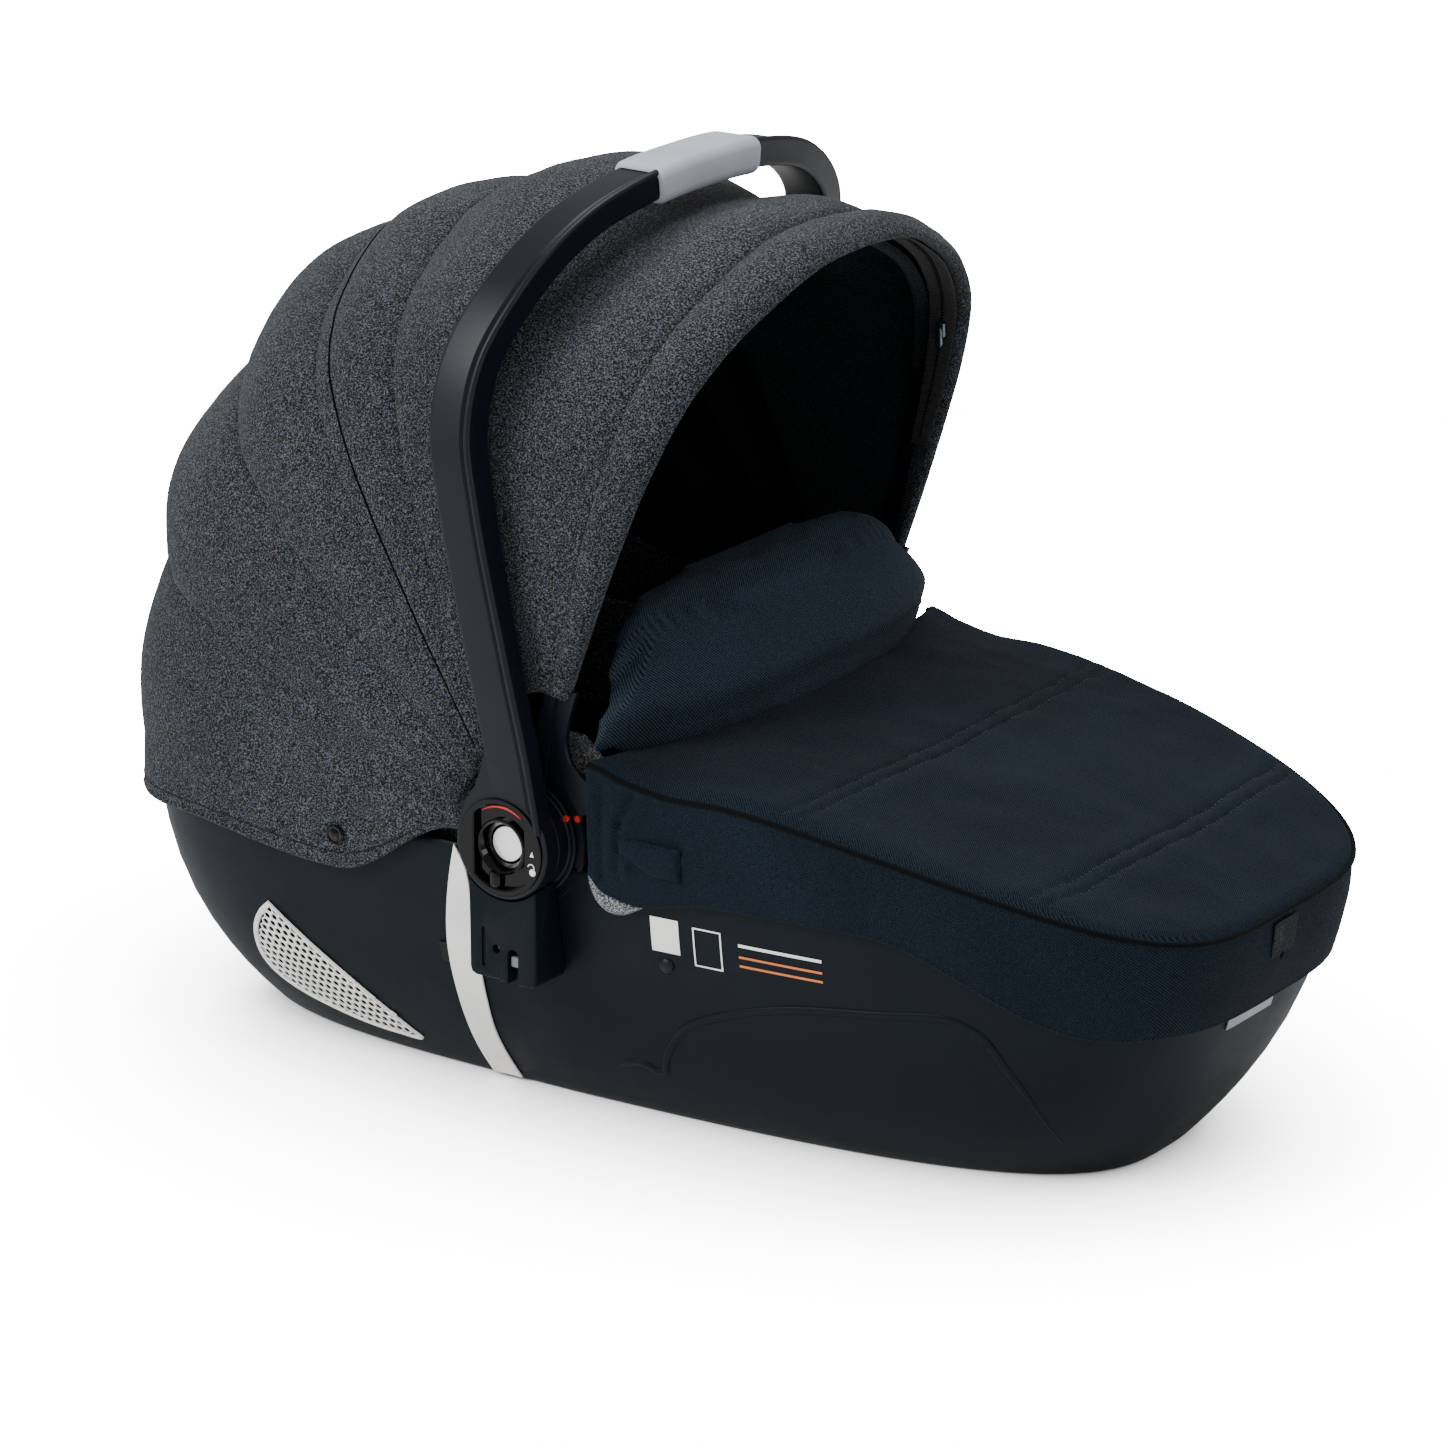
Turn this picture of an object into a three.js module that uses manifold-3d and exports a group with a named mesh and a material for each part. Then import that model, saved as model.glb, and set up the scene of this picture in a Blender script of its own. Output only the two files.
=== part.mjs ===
// Lie-flat infant car seat with a turning carry handle, a folding hood and a reclining back.
// Millimetres, +Z up, the floor at z = 0. +X is the foot end, -Y the child's right-hand side.
import * as THREE from 'three';
import { mergeVertices } from 'three/addons/utils/BufferGeometryUtils.js';
import Module from 'manifold-3d';

const wasm = await Module();
wasm.setup();

// ---- Driving dimensions ----
const gap = 0.4;
const tub = {
  middleX: -50,
  headBase: 296,
  footBase: 350,
  headRim: 341,
  footRim: 427,
  halfBase: 127,
  halfRim: 190,
  fullHeight: 232,
  flare: 2.9,
  wall: 4,
  taper: 0.09,
};
const rim = { headHeight: 176, footHeight: 226, footDrop: 64, stepStart: 2, stepEnd: 44 };
const foam = { thickness: 12, floorTop: 20, top: 150 };
const hub = { x: -49, z: 191, capRadius: 34, discRadius: 41, pinRadius: 6 };
const layers = {
  bracketInner: 171,
  bracketOuter: 177.6,
  firstBow: 179,
  bowPitch: 3,
  discInner: 191,
  discOuter: 199.4,
  hubInner: 199.8,
  pinEnd: 201.6,
  hubOuter: 213.4,
  capOuter: 215.4,
};
const hood = {
  halfWidthFront: 193,
  halfWidthRear: 197,
  cloth: 2.2,
  footFront: 104,
  footRear: 47,
  rearAngle: -90,
  rearRadius: 347,
  dipDepth: 32,
  dipAngle: 8,
};
const bow = { width: 8, thickness: 2.4, armWidth: 18, armReach: 104, eyeRadius: 14 };
const apron = { footX: 378, height: 248, drop: 72, crown: 5, cloth: 5, outset: 8, endTurn: 1.448 };
const skirt = { lowSide: 174, lowFoot: 120, fallStart: 190, fallEnd: 350 };
const guard = { half: 174, base: 256, rise: 80, minHeight: 6, thickness: 3, swell: 16 };
const seat = { fromX: -26, toX: 276, half: 97, top: 80 };
const back = { fromX: -318, half: 112, boardLow: 50, padLow: 58, padTop: 86 };
const recline = { x: -36, z: 53 };

// Valley seams of the hood, counted from the front: angle forward of upright, and radius
// about the hub axis. bulge is how far the cloth stands out between a seam and the next.
const seams = [
  { angle: 19, radius: 380, bulge: 0 },
  { angle: 13, radius: 373, bulge: 19 },
  { angle: -22, radius: 377, bulge: 12.5 },
  { angle: -34, radius: 387, bulge: 20 },
  { angle: -48.5, radius: 378, bulge: 20 },
  { angle: -69, radius: 354, bulge: 3 },
  { angle: hood.rearAngle, radius: hood.rearRadius, bulge: 0 },
];

// Half of an arch from its crown to its foot, as shares of half-width and height.
const frontArch = [[0, 1], [0.27, 0.986], [0.52, 0.935], [0.72, 0.87], [0.87, 0.78],
  [0.95, 0.66], [0.985, 0.53], [1, 0.36], [1, 0]];
const rearArch = [[0, 1], [0.3, 0.999], [0.55, 0.992], [0.74, 0.965], [0.88, 0.885],
  [0.955, 0.76], [0.99, 0.57], [1, 0.36], [1, 0]];

// ---- Finishes ----
function finish(color, roughness, metalness = 0) {
  return new THREE.MeshStandardMaterial({ color, roughness, metalness });
}
const shellPlastic = () => finish(0x141416, 0.55);
const handlePlastic = () => finish(0x101012, 0.4);
const glossPlastic = () => finish(0x08080a, 0.15);
const whitePlastic = () => finish(0xe6e6e2, 0.45);
const gripRubber = () => finish(0x8b8d90, 0.7);
const knit = () => finish(0x2c2e31, 0.95);
const twill = () => finish(0x0d0e12, 0.9);
const greyFelt = () => finish(0x6f7175, 0.95);
const foamBeads = () => finish(0x2a2a2c, 0.9);
const steel = () => finish(0xb8babd, 0.3, 0.9);
const redPlastic = () => finish(0xb3201c, 0.4);
const webbing = () => finish(0x17181a, 0.85);

// ---- Numbers ----
const radians = THREE.MathUtils.degToRad;
const mix = THREE.MathUtils.lerp;
const ease = (value, start, end) => {
  const share = THREE.MathUtils.clamp((value - start) / (end - start), 0, 1);
  return share * share * (3 - 2 * share);
};
const point = (x, y, z) => new THREE.Vector3(x, y, z);
const steps = (count) => Array.from({ length: count + 1 }, (_, i) => i / count);

// ---- Solids ----
// Lengths are laid out about the hub; the group then sits centred over the origin.
const group = new THREE.Group();
group.position.x = 7.6;

function add(name, geometry, material) {
  const mesh = new THREE.Mesh(geometry, material);
  mesh.name = name;
  group.add(mesh);
}

// An indexed geometry whose faces look outwards whichever way round it was listed.
function solid(points, faces) {
  const geometry = new THREE.BufferGeometry();
  const coordinates = points.flatMap((p) => [p.x, p.y, p.z]);
  geometry.setAttribute('position', new THREE.Float32BufferAttribute(coordinates, 3));
  geometry.setIndex(faces.flat());
  return facingOut(geometry);
}

function facingOut(geometry) {
  const position = geometry.attributes.position;
  const index = geometry.index.array;
  const corner = (i) => new THREE.Vector3().fromBufferAttribute(position, index[i]);
  let volume = 0;
  for (let i = 0; i < index.length; i += 3) {
    volume += corner(i).dot(corner(i + 1).cross(corner(i + 2)));
  }
  if (volume < 0) {
    for (let i = 0; i < index.length; i += 3) {
      [index[i], index[i + 1]] = [index[i + 1], index[i]];
    }
  }
  return geometry;
}

// A skin through closed rings of equal count, capped at both ends or joined into a hoop.
function loft(rings, joined = false) {
  const count = rings[0].length;
  const points = rings.flat();
  const faces = [];
  const bands = joined ? rings.length : rings.length - 1;
  for (let band = 0; band < bands; band += 1) {
    const here = band * count;
    const there = ((band + 1) % rings.length) * count;
    for (let i = 0; i < count; i += 1) {
      const next = (i + 1) % count;
      faces.push([here + i, here + next, there + next], [here + i, there + next, there + i]);
    }
  }
  if (!joined) {
    for (const [ring, turned] of [[0, true], [rings.length - 1, false]]) {
      const middle = rings[ring].reduce((sum, p) => sum.add(p), point(0, 0, 0)).divideScalar(count);
      points.push(middle);
      for (let i = 0; i < count; i += 1) {
        const edge = [ring * count + i, ring * count + ((i + 1) % count)];
        faces.push(turned ? [edge[1], edge[0], points.length - 1] : [...edge, points.length - 1]);
      }
    }
  }
  return solid(points, faces);
}

// A sheet with thickness: place(across, along, depth) gives a point, depth 0 outside and 1 inside.
function sheet(place, acrossCount, alongCount) {
  const rows = alongCount + 1;
  const columns = acrossCount + 1;
  const face = (depth) => steps(alongCount).flatMap((v) => (
    steps(acrossCount).map((u) => place(u, v, depth))));
  const points = [...face(0), ...face(1)];
  const at = (i, j, depth) => depth * rows * columns + j * columns + i;
  const faces = [];
  const quad = (a, b, c, d) => faces.push([a, b, c], [a, c, d]);
  for (let j = 0; j < alongCount; j += 1) {
    for (let i = 0; i < acrossCount; i += 1) {
      quad(at(i, j, 0), at(i + 1, j, 0), at(i + 1, j + 1, 0), at(i, j + 1, 0));
      quad(at(i, j + 1, 1), at(i + 1, j + 1, 1), at(i + 1, j, 1), at(i, j, 1));
    }
  }
  const wall = (a, b) => quad(at(...a, 0), at(...b, 0), at(...b, 1), at(...a, 1));
  for (let j = 0; j < alongCount; j += 1) {
    wall([0, j], [0, j + 1]);
    wall([acrossCount, j + 1], [acrossCount, j]);
  }
  for (let i = 0; i < acrossCount; i += 1) {
    wall([i + 1, 0], [i, 0]);
    wall([i, alongCount], [i + 1, alongCount]);
  }
  return solid(points, faces);
}

// A pad over a star-shaped outline, between two height functions of x and y.
function pad(outline, top, bottom, ringCount) {
  const middle = outline.reduce((sum, p) => sum.add(p), point(0, 0, 0)).divideScalar(outline.length);
  const ring = (share, height) => outline.map((edge) => {
    const p = middle.clone().lerp(edge, share);
    p.z = height(p.x, p.y);
    return p;
  });
  const shares = steps(ringCount).slice(1);
  const below = shares.map((share) => ring(share, bottom));
  const above = shares.map((share) => ring(share, top)).reverse();
  const geometry = loft([...below, ...above]);
  const position = geometry.attributes.position;
  const last = position.count - 1;
  position.setZ(last - 1, bottom(middle.x, middle.y));
  position.setZ(last, top(middle.x, middle.y));
  return geometry;
}

// A flat outline given in two coordinates, pushed straight along X, Y or Z.
function prism(outline, from, to, direction) {
  const places = {
    x: ([a, b], reach) => point(reach, a, b),
    y: ([a, b], reach) => point(a, reach, b),
    z: ([a, b], reach) => point(a, b, reach),
  };
  const corners = outline.map(([a, b]) => new THREE.Vector2(a, b));
  if (THREE.ShapeUtils.isClockWise(corners)) corners.reverse();
  const flat = THREE.ShapeUtils.triangulateShape(corners, []);
  const count = corners.length;
  const points = [from, to].flatMap((reach) => (
    corners.map((c) => places[direction]([c.x, c.y], reach))));
  const faces = flat.map(([a, b, c]) => [c, b, a]);
  faces.push(...flat.map(([a, b, c]) => [a + count, b + count, c + count]));
  for (let i = 0; i < count; i += 1) {
    const next = (i + 1) % count;
    faces.push([i, next, next + count], [i, next + count, i + count]);
  }
  return solid(points, faces);
}

function box(low, high) {
  const outline = [[low[0], low[1]], [high[0], low[1]], [high[0], high[1]], [low[0], high[1]]];
  return prism(outline, low[2], high[2], 'z');
}

function circle(x, z, radius, count = 24) {
  return steps(count).slice(1).map((share) => {
    const turn = 2 * Math.PI * share;
    return [x + radius * Math.cos(turn), z + radius * Math.sin(turn)];
  });
}

// A disc or pin about an axis along Y.
function disc(x, z, radius, fromY, toY, count = 24) {
  return prism(circle(x, z, radius, count), fromY, toY, 'y');
}

function roundedRectangle(halfA, halfB, radius, perCorner = 3) {
  const corners = [[1, 1], [-1, 1], [-1, -1], [1, -1]];
  return corners.flatMap(([a, b], corner) => steps(perCorner - 1).map((share) => {
    const turn = (corner + share) * (Math.PI / 2);
    const [alongA, alongB] = [radius * Math.cos(turn), radius * Math.sin(turn)];
    return [a * (halfA - radius) + alongA, b * (halfB - radius) + alongB];
  }));
}

function joinable(geometry) {
  const bare = geometry.clone();
  bare.deleteAttribute('normal');
  bare.deleteAttribute('uv');
  const merged = mergeVertices(bare);
  return new wasm.Manifold(new wasm.Mesh({
    numProp: 3,
    vertProperties: merged.attributes.position.array,
    triVerts: Uint32Array.from(merged.index.array),
  }));
}

function fromJoined(joined) {
  const mesh = joined.getMesh();
  const geometry = new THREE.BufferGeometry();
  geometry.setAttribute('position', new THREE.BufferAttribute(Float32Array.from(mesh.vertProperties), 3));
  geometry.setIndex(new THREE.BufferAttribute(Uint32Array.from(mesh.triVerts), 1));
  return geometry;
}

function carve(kept, joinedParts, removedParts) {
  let result = joinable(kept);
  for (const part of joinedParts) {
    result = result.add(joinable(part));
  }
  for (const part of removedParts) {
    result = result.subtract(joinable(part));
  }
  return fromJoined(result);
}

function mirrorSides(build) {
  for (const [name, side] of [['right', -1], ['left', 1]]) {
    build(name, side);
  }
}

// A smooth curve through hand-set pairs, at a share of the way along them.
function along(pairs, share) {
  const curve = new THREE.CatmullRomCurve3(pairs.map(([a, b]) => point(a, b, 0)), false, 'centripetal');
  const p = curve.getPoint(share);
  return [p.x, p.y];
}

// ---- Tub ----
// The plan outline is a superellipse that grows and squares off from the floor to the rim.
function tubOutline(turn, height, inset) {
  const rise = 1 - (1 - Math.min(height / tub.fullHeight, 1)) ** tub.flare;
  const toFoot = Math.cos(turn) >= 0;
  const length = toFoot ? mix(tub.footBase, tub.footRim, rise) : mix(tub.headBase, tub.headRim, rise);
  const power = toFoot ? mix(3, 3.8, rise) : mix(3.6, 5.6, rise);
  const half = mix(tub.halfBase, tub.halfRim, rise) - inset;
  const c = Math.cos(turn);
  const s = Math.sin(turn);
  const scale = (Math.abs(c) ** power + Math.abs(s) ** power) ** (-1 / power);
  const x = (length - inset) * c * scale;
  const taper = toFoot ? 1 - tub.taper * (x / length) : 1;
  return point(tub.middleX + x, half * s * scale * taper, height);
}

function rimHeight(x) {
  const toFoot = Math.max(0, (x - tub.middleX) / tub.footRim);
  const footSide = rim.footHeight - rim.footDrop * toFoot ** 3.5;
  return mix(rim.headHeight, footSide, ease(x, rim.stepStart, rim.stepEnd));
}

function tubPoint(turn, share, inset) {
  const guess = tubOutline(turn, rim.headHeight, inset);
  return tubOutline(turn, share * rimHeight(guess.x), inset);
}

// The outer face of the tub at a place on its flank, pushed out by an offset.
function flank(x, z, side, offset) {
  let low = 0;
  let high = Math.PI;
  for (let i = 0; i < 40; i += 1) {
    const turn = (low + high) / 2;
    if (tubOutline(turn, z, 0).x > x) low = turn;
    else high = turn;
  }
  const here = tubOutline(low, z, 0);
  const around = tubOutline(low + 0.01, z, 0).sub(tubOutline(low - 0.01, z, 0));
  const up = tubOutline(low, z + 2, 0).sub(tubOutline(low, z - 2, 0));
  const normal = around.cross(up).normalize();
  if (normal.y < 0) normal.negate();
  const p = here.addScaledVector(normal, offset);
  p.y *= side;
  return p;
}

function ringAt(count, place) {
  return Array.from({ length: count }, (_, i) => place((2 * Math.PI * i) / count));
}

function makeTub() {
  const count = 40;
  const outer = [0, 0.02, 0.07, 0.16, 0.3, 0.5, 0.75, 1];
  const inner = [1, 0.75, 0.5, 0.3, 0.16, 0.08];
  const rings = outer.map((share) => ringAt(count, (turn) => (share === 0
    ? tubOutline(turn, 0, 5)
    : tubPoint(turn, share, 0))));
  rings.push(...inner.map((share) => ringAt(count, (turn) => tubPoint(turn, share, tub.wall))));
  rings.push(ringAt(count, (turn) => tubOutline(turn, tub.wall, tub.wall + 5)));
  add('base_shell', loft(rings), shellPlastic());
}

function makeFoamLiner() {
  const count = 36;
  const outerInset = tub.wall + 6;
  const innerInset = outerInset + foam.thickness;
  const heights = [8, 16, 30, 52, 95, foam.top];
  const rings = heights.map((z) => ringAt(count, (turn) => tubOutline(turn, z, outerInset)));
  rings.push(...[...heights].reverse().slice(0, -1).map((z) => ringAt(count, (turn) => (
    tubOutline(turn, Math.max(z, foam.floorTop), innerInset)))));
  add('foam_liner', loft(rings), foamBeads());
}

// The grey fabric lining stands inside the shell and shows above its rim.
function makeLining() {
  const count = 36;
  const bottom = foam.top + gap;
  const outerInset = 19;
  const top = (x) => mix(222, 160, ease(x, 20, 330));
  const wall = (turn, share, inset) => {
    const x = tubOutline(turn, bottom, inset).x;
    return tubOutline(turn, mix(bottom, top(x), share), inset);
  };
  const rings = [[0, outerInset], [0.5, outerInset], [1, outerInset],
    [1, outerInset + 7], [0.5, outerInset + 7], [0, outerInset + 7]];
  add('fabric_lining', loft(rings.map(([share, inset]) => (
    ringAt(count, (turn) => wall(turn, share, inset)))), true), greyFelt());
}

// ---- Pads inside the tub ----
function cushionOutline(fromX, toX, half, power = 4) {
  const middle = (fromX + toX) / 2;
  const length = (toX - fromX) / 2;
  return ringAt(24, (turn) => {
    const c = Math.cos(turn);
    const s = Math.sin(turn);
    const scale = (Math.abs(c) ** power + Math.abs(s) ** power) ** (-1 / power);
    return point(middle + length * c * scale, half * s * scale, 0);
  });
}

function makeSeat() {
  const outline = cushionOutline(seat.fromX, seat.toX, seat.half, 3);
  add('seat_pad', pad(outline, () => seat.top, () => foam.floorTop + gap, 1), greyFelt());
  const strap = { fromX: 26, toX: 120, half: 14, top: seat.top + 2.6 };
  const strapLow = [strap.fromX, -strap.half, seat.top + gap];
  add('crotch_strap', box(strapLow, [strap.toX, strap.half, strap.top]), webbing());

  const buckle = { x: 58, halfLength: 32, half: 24, corner: 9, height: 18 };
  const button = { half: 12, low: strap.top + 12.5, top: strap.top + 20 };
  const buckleShape = roundedRectangle(buckle.halfLength, buckle.half, buckle.corner);
  const placed = buckleShape.map(([x, y]) => [x + buckle.x, y]);
  const body = prism(placed, strap.top + gap, strap.top + buckle.height, 'z');
  const square = (half, low, top) => box([buckle.x - half, -half, low], [buckle.x + half, half, top]);
  const pocket = square(button.half + gap, button.low - 3.5, button.top + 10);
  add('harness_buckle', carve(body, [], [pocket]), handlePlastic());
  add('buckle_button', square(button.half, button.low, button.top), redPlastic());
}

// The back turns about a cross rod: a board with a pad, a pillow and two harness straps on it.
function makeBackrest() {
  const toX = recline.x - 6;
  const board = cushionOutline(back.fromX, toX, back.half);
  add('back_board', pad(board, () => back.padLow - gap, () => back.boardLow, 1), shellPlastic());
  const padShape = cushionOutline(back.fromX - 4, toX, back.half + 8);
  const slope = (x) => Math.min(back.padTop, back.padLow + 2 + (toX - x) * 1.2);
  add('back_pad', pad(padShape, slope, () => back.padLow, 5), greyFelt());

  const pillow = { x: -263, halfLength: 37, half: 78, edge: 6, crown: 16 };
  const pillowShape = cushionOutline(
    pillow.x - pillow.halfLength, pillow.x + pillow.halfLength, pillow.half, 3);
  const dome = (x, y) => (1 - ((x - pillow.x) / pillow.halfLength) ** 2) * (1 - (y / pillow.half) ** 2);
  const pillowTop = (x, y) => back.padTop + pillow.edge + pillow.crown * dome(x, y);
  add('head_pillow', pad(pillowShape, pillowTop, () => back.padTop + gap, 4), greyFelt());

  const strap = { fromX: -216, toX: -80, inner: 30, outer: 62 };
  mirrorSides((name, side) => {
    const [low, high] = span(side, strap.inner, strap.outer);
    const ends = [[strap.fromX, low, back.padTop + gap], [strap.toX, high, back.padTop + 3]];
    add(`shoulder_strap_${name}`, box(...ends), webbing());
  });
  add('recline_rod', disc(recline.x, recline.z, 4, -104, 104, 12), steel());
}

// ---- Hub hardware ----
function span(side, inner, outer) {
  return side > 0 ? [inner, outer] : [-outer, -inner];
}

function sideProfile(side, outline) {
  return outline.map(([y, z]) => [side * y, z]);
}

// The cutter for every hole that the pivot pin passes through.
function pinBore(side) {
  return disc(hub.x, hub.z, hub.pinRadius + gap, ...span(side, 160, layers.pinEnd + gap), 16);
}

// A bracket inside the shell carries the pin; outside it hangs the block that a frame takes.
function makeHub(name, side) {
  const pin = disc(hub.x, hub.z, hub.pinRadius, ...span(side, layers.bracketInner, layers.pinEnd), 16);
  add(`pivot_pin_${name}`, pin, steel());

  const ledge = 158;
  const bracket = sideProfile(side, [[layers.bracketInner, ledge], [180, ledge], [182, 175.4],
    [layers.bracketOuter, 176.4], [layers.bracketOuter, 208], [layers.bracketInner, 208]]);
  add(`hub_bracket_${name}`, carve(prism(bracket, -78, -20, 'x'), [], [pinBore(side)]), shellPlastic());

  const plate = disc(hub.x, hub.z, hub.discRadius, ...span(side, layers.discInner, layers.discOuter), 30);
  const roomSpan = span(side, layers.discOuter + gap, 230);
  const handleRoom = disc(hub.x, hub.z, hub.capRadius + 1.6, ...roomSpan, 30);
  const blockShape = sideProfile(side, [[191, 166], [187.4, 140], [185, 125], [180, 102],
    [212, 102], [212, 166]]);
  const block = prism(blockShape, -75, -25, 'x');
  const [slotLow, slotHigh] = span(side, 204, 220);
  const slot = box([-46, slotLow, 90], [-38, slotHigh, 126]);
  const blockBody = carve(block, [plate], [handleRoom, pinBore(side), slot]);
  add(`adaptor_block_${name}`, blockBody, handlePlastic());
  const [catchLow, catchHigh] = span(side, 204.4, 210);
  add(`latch_catch_${name}`, box([-45.6, catchLow, 112], [-38.4, catchHigh, 121]), steel());
}

// ---- Carry handle ----
// Half of the centreline from the hub to the top, then the depth and thickness of its section.
const handleHalf = [
  { at: [-33.5, 206.6, 194], depth: 33, thickness: 13.2 },
  { at: [-43.5, 206.8, 245], depth: 34, thickness: 13.6 },
  { at: [-57, 206.6, 305], depth: 33, thickness: 15 },
  { at: [-79, 203, 400], depth: 32, thickness: 19 },
  { at: [-88, 198, 447], depth: 32, thickness: 20 },
  { at: [-85, 186, 490], depth: 32, thickness: 20 },
  { at: [-71, 162, 530], depth: 32, thickness: 18 },
  { at: [-61, 120, 559], depth: 32, thickness: 17 },
  { at: [-56, 60, 573], depth: 32, thickness: 17 },
  { at: [-55, 0, 576], depth: 32, thickness: 17 },
];

function handleStations(count, from = 0, to = 1) {
  const otherHalf = [...handleHalf].reverse().slice(1);
  const mirrored = otherHalf.map(({ at: [x, y, z], ...size }) => ({ at: [x, -y, z], ...size }));
  const stations = [...handleHalf, ...mirrored];
  const curve = (points) => new THREE.CatmullRomCurve3(points, false, 'centripetal');
  const path = curve(stations.map(({ at }) => point(...at)));
  const sizes = curve(stations.map((s) => point(s.depth, s.thickness, 0)));
  return steps(count).map((step) => {
    const share = mix(from, to, step);
    const { x: depth, y: thickness } = sizes.getPoint(share);
    return { centre: path.getPoint(share), tangent: path.getTangent(share), depth, thickness };
  });
}

// A ring of the handle's section, its depth kept along X as far as the tangent allows.
function handleRing({ centre, tangent, depth, thickness }, extra, corner) {
  const wide = point(1, 0, 0).addScaledVector(tangent, -tangent.x).normalize();
  const thick = new THREE.Vector3().crossVectors(tangent, wide);
  return roundedRectangle(depth / 2 + extra, thickness / 2 + extra, corner).map(([a, b]) => (
    centre.clone().addScaledVector(wide, a).addScaledVector(thick, b)));
}

// The hub's face: a glossy cap around a press button, with a red arc that marks the lock.
function makeHubFace(name, side) {
  const { x, z } = hub;
  const buttonRadius = 15.8;
  const capHole = disc(x, z, buttonRadius + 0.8, ...span(side, 200, 230));
  const cap = disc(x, z, 31, ...span(side, layers.hubOuter + gap, layers.capOuter), 30);
  add(`hub_cap_${name}`, carve(cap, [], [capHole]), glossPlastic());
  add(`release_button_${name}`, disc(x, z, buttonRadius, ...span(side, 207.4, 214.6)), steel());

  const arc = (radius, share) => {
    const turn = mix(radians(35), radians(145), share);
    return [x + radius * Math.cos(turn), z + radius * Math.sin(turn)];
  };
  const mark = [...steps(8).map((s) => arc(25.5, s)), ...steps(8).reverse().map((s) => arc(22.5, s))];
  const markSpan = span(side, layers.capOuter + gap, layers.capOuter + 1.2);
  add(`lock_indicator_${name}`, prism(mark, ...markSpan, 'y'), redPlastic());
}

function makeHandle() {
  const stations = handleStations(38);
  const bar = loft(stations.map((station) => handleRing(station, 0, 5)));
  const hubs = [];
  const cuts = [];
  mirrorSides((name, side) => {
    hubs.push(disc(hub.x, hub.z, hub.capRadius, ...span(side, layers.hubInner, layers.hubOuter), 32));
    cuts.push(pinBore(side));
    cuts.push(disc(hub.x, hub.z, 16.4, ...span(side, 203.4, 230)));
  });
  add('handle_bow', carve(bar, hubs, cuts), handlePlastic());
  mirrorSides(makeHubFace);

  const held = handleStations(6, 0.45, 0.55);
  const sleeve = [...held.map((station) => handleRing(station, 3.6, 7)),
    ...[...held].reverse().map((station) => handleRing(station, gap, 5.2))];
  add('handle_grip', loft(sleeve, true), gripRubber());
}

// ---- Hood ----
// An arch at a given angle about the hub axis: share 0 and 1 are its two feet, 0.5 its crown.
function archPoint(share, angle, radius, half, foot) {
  const straightSide = 0.36;
  const whole = frontArch.length - 1;
  const covered = 1 - foot / radius / straightSide / whole;
  const fromCrown = Math.abs(share - 0.5) * 2 * covered;
  const square = ease(-angle, 30, 90);
  const front = along(frontArch, fromCrown);
  const rear = along(rearArch, fromCrown);
  const across = mix(front[0], rear[0], square);
  const up = mix(front[1], rear[1], square);
  const reach = radius * up;
  const y = Math.sign(share - 0.5) * across * half;
  return point(hub.x + reach * Math.sin(radians(angle)), y, hub.z + reach * Math.cos(radians(angle)));
}

function hoodFoot(angle) {
  return mix(hood.footFront, hood.footRear, ease(-angle, -13, 40));
}

// Cloth between two seams: the crown rises by the gore's bulge and dips under the grip.
function hoodPoint(share, angle, depth) {
  const found = seams.findIndex((seam) => seam.angle <= angle);
  const next = found < 0 ? seams.length - 1 : Math.max(1, found);
  const [start, end] = [seams[next - 1], seams[next]];
  const way = THREE.MathUtils.clamp((start.angle - angle) / (start.angle - end.angle), 0, 1);
  const swell = start.bulge * Math.sin(Math.PI * way) ** 0.75;
  const dip = hood.dipDepth * Math.exp(-((angle / hood.dipAngle) ** 2));
  const radius = mix(start.radius, end.radius, way) + swell - dip - depth;
  const half = mix(hood.halfWidthFront, hood.halfWidthRear, ease(-angle, 0, 90)) + 0.2 * swell - depth;
  return archPoint(share, angle, radius, half, hoodFoot(angle));
}

function gore(from, to, alongCount) {
  return sheet((u, v, depth) => hoodPoint(u, mix(from, to, v), depth * hood.cloth), 22, alongCount);
}

// A flat hoop with an arm and an eye at each end; its number sets its layer on the pivot pin.
function makeBow(number, angle, radius) {
  const outer = layers.firstBow + number * layers.bowPitch + bow.thickness;
  const half = outer - bow.thickness / 2;
  const count = 22;
  const forward = point(Math.sin(radians(angle)), 0, Math.cos(radians(angle)));
  const across = point(forward.z, 0, -forward.x);
  const path = steps(count).map((share) => archPoint(share, angle, radius - bow.thickness / 2, half, 0));
  const rings = path.map((centre, i) => {
    const before = path[Math.max(0, i - 1)];
    const after = path[Math.min(count, i + 1)];
    const normal = new THREE.Vector3().crossVectors(after.clone().sub(before).normalize(), across);
    return [[1, 1], [-1, 1], [-1, -1], [1, -1]].map(([a, b]) => centre.clone()
      .addScaledVector(across, a * bow.width / 2)
      .addScaledVector(normal, b * bow.thickness / 2));
  });
  const arms = [];
  const bores = [];
  const armShape = [[-bow.armWidth / 2, 4], [bow.armWidth / 2, 4],
    [bow.width / 2, bow.armReach], [-bow.width / 2, bow.armReach]];
  const arm = armShape.map(([a, reach]) => [
    hub.x + reach * forward.x + a * across.x, hub.z + reach * forward.z + a * across.z]);
  mirrorSides((name, side) => {
    const thick = span(side, outer - bow.thickness, outer);
    arms.push(disc(hub.x, hub.z, bow.eyeRadius, ...thick, 20), prism(arm, ...thick, 'y'));
    bores.push(pinBore(side));
  });
  return carve(loft(rings), arms, bores);
}

// The hem hangs lowest behind the hub and rises a little round the head end.
function hemHeight(x) {
  return hub.z - 44 * ease(-x, 96, 190) + 9 * ease(-x, 190, 320);
}

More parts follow.
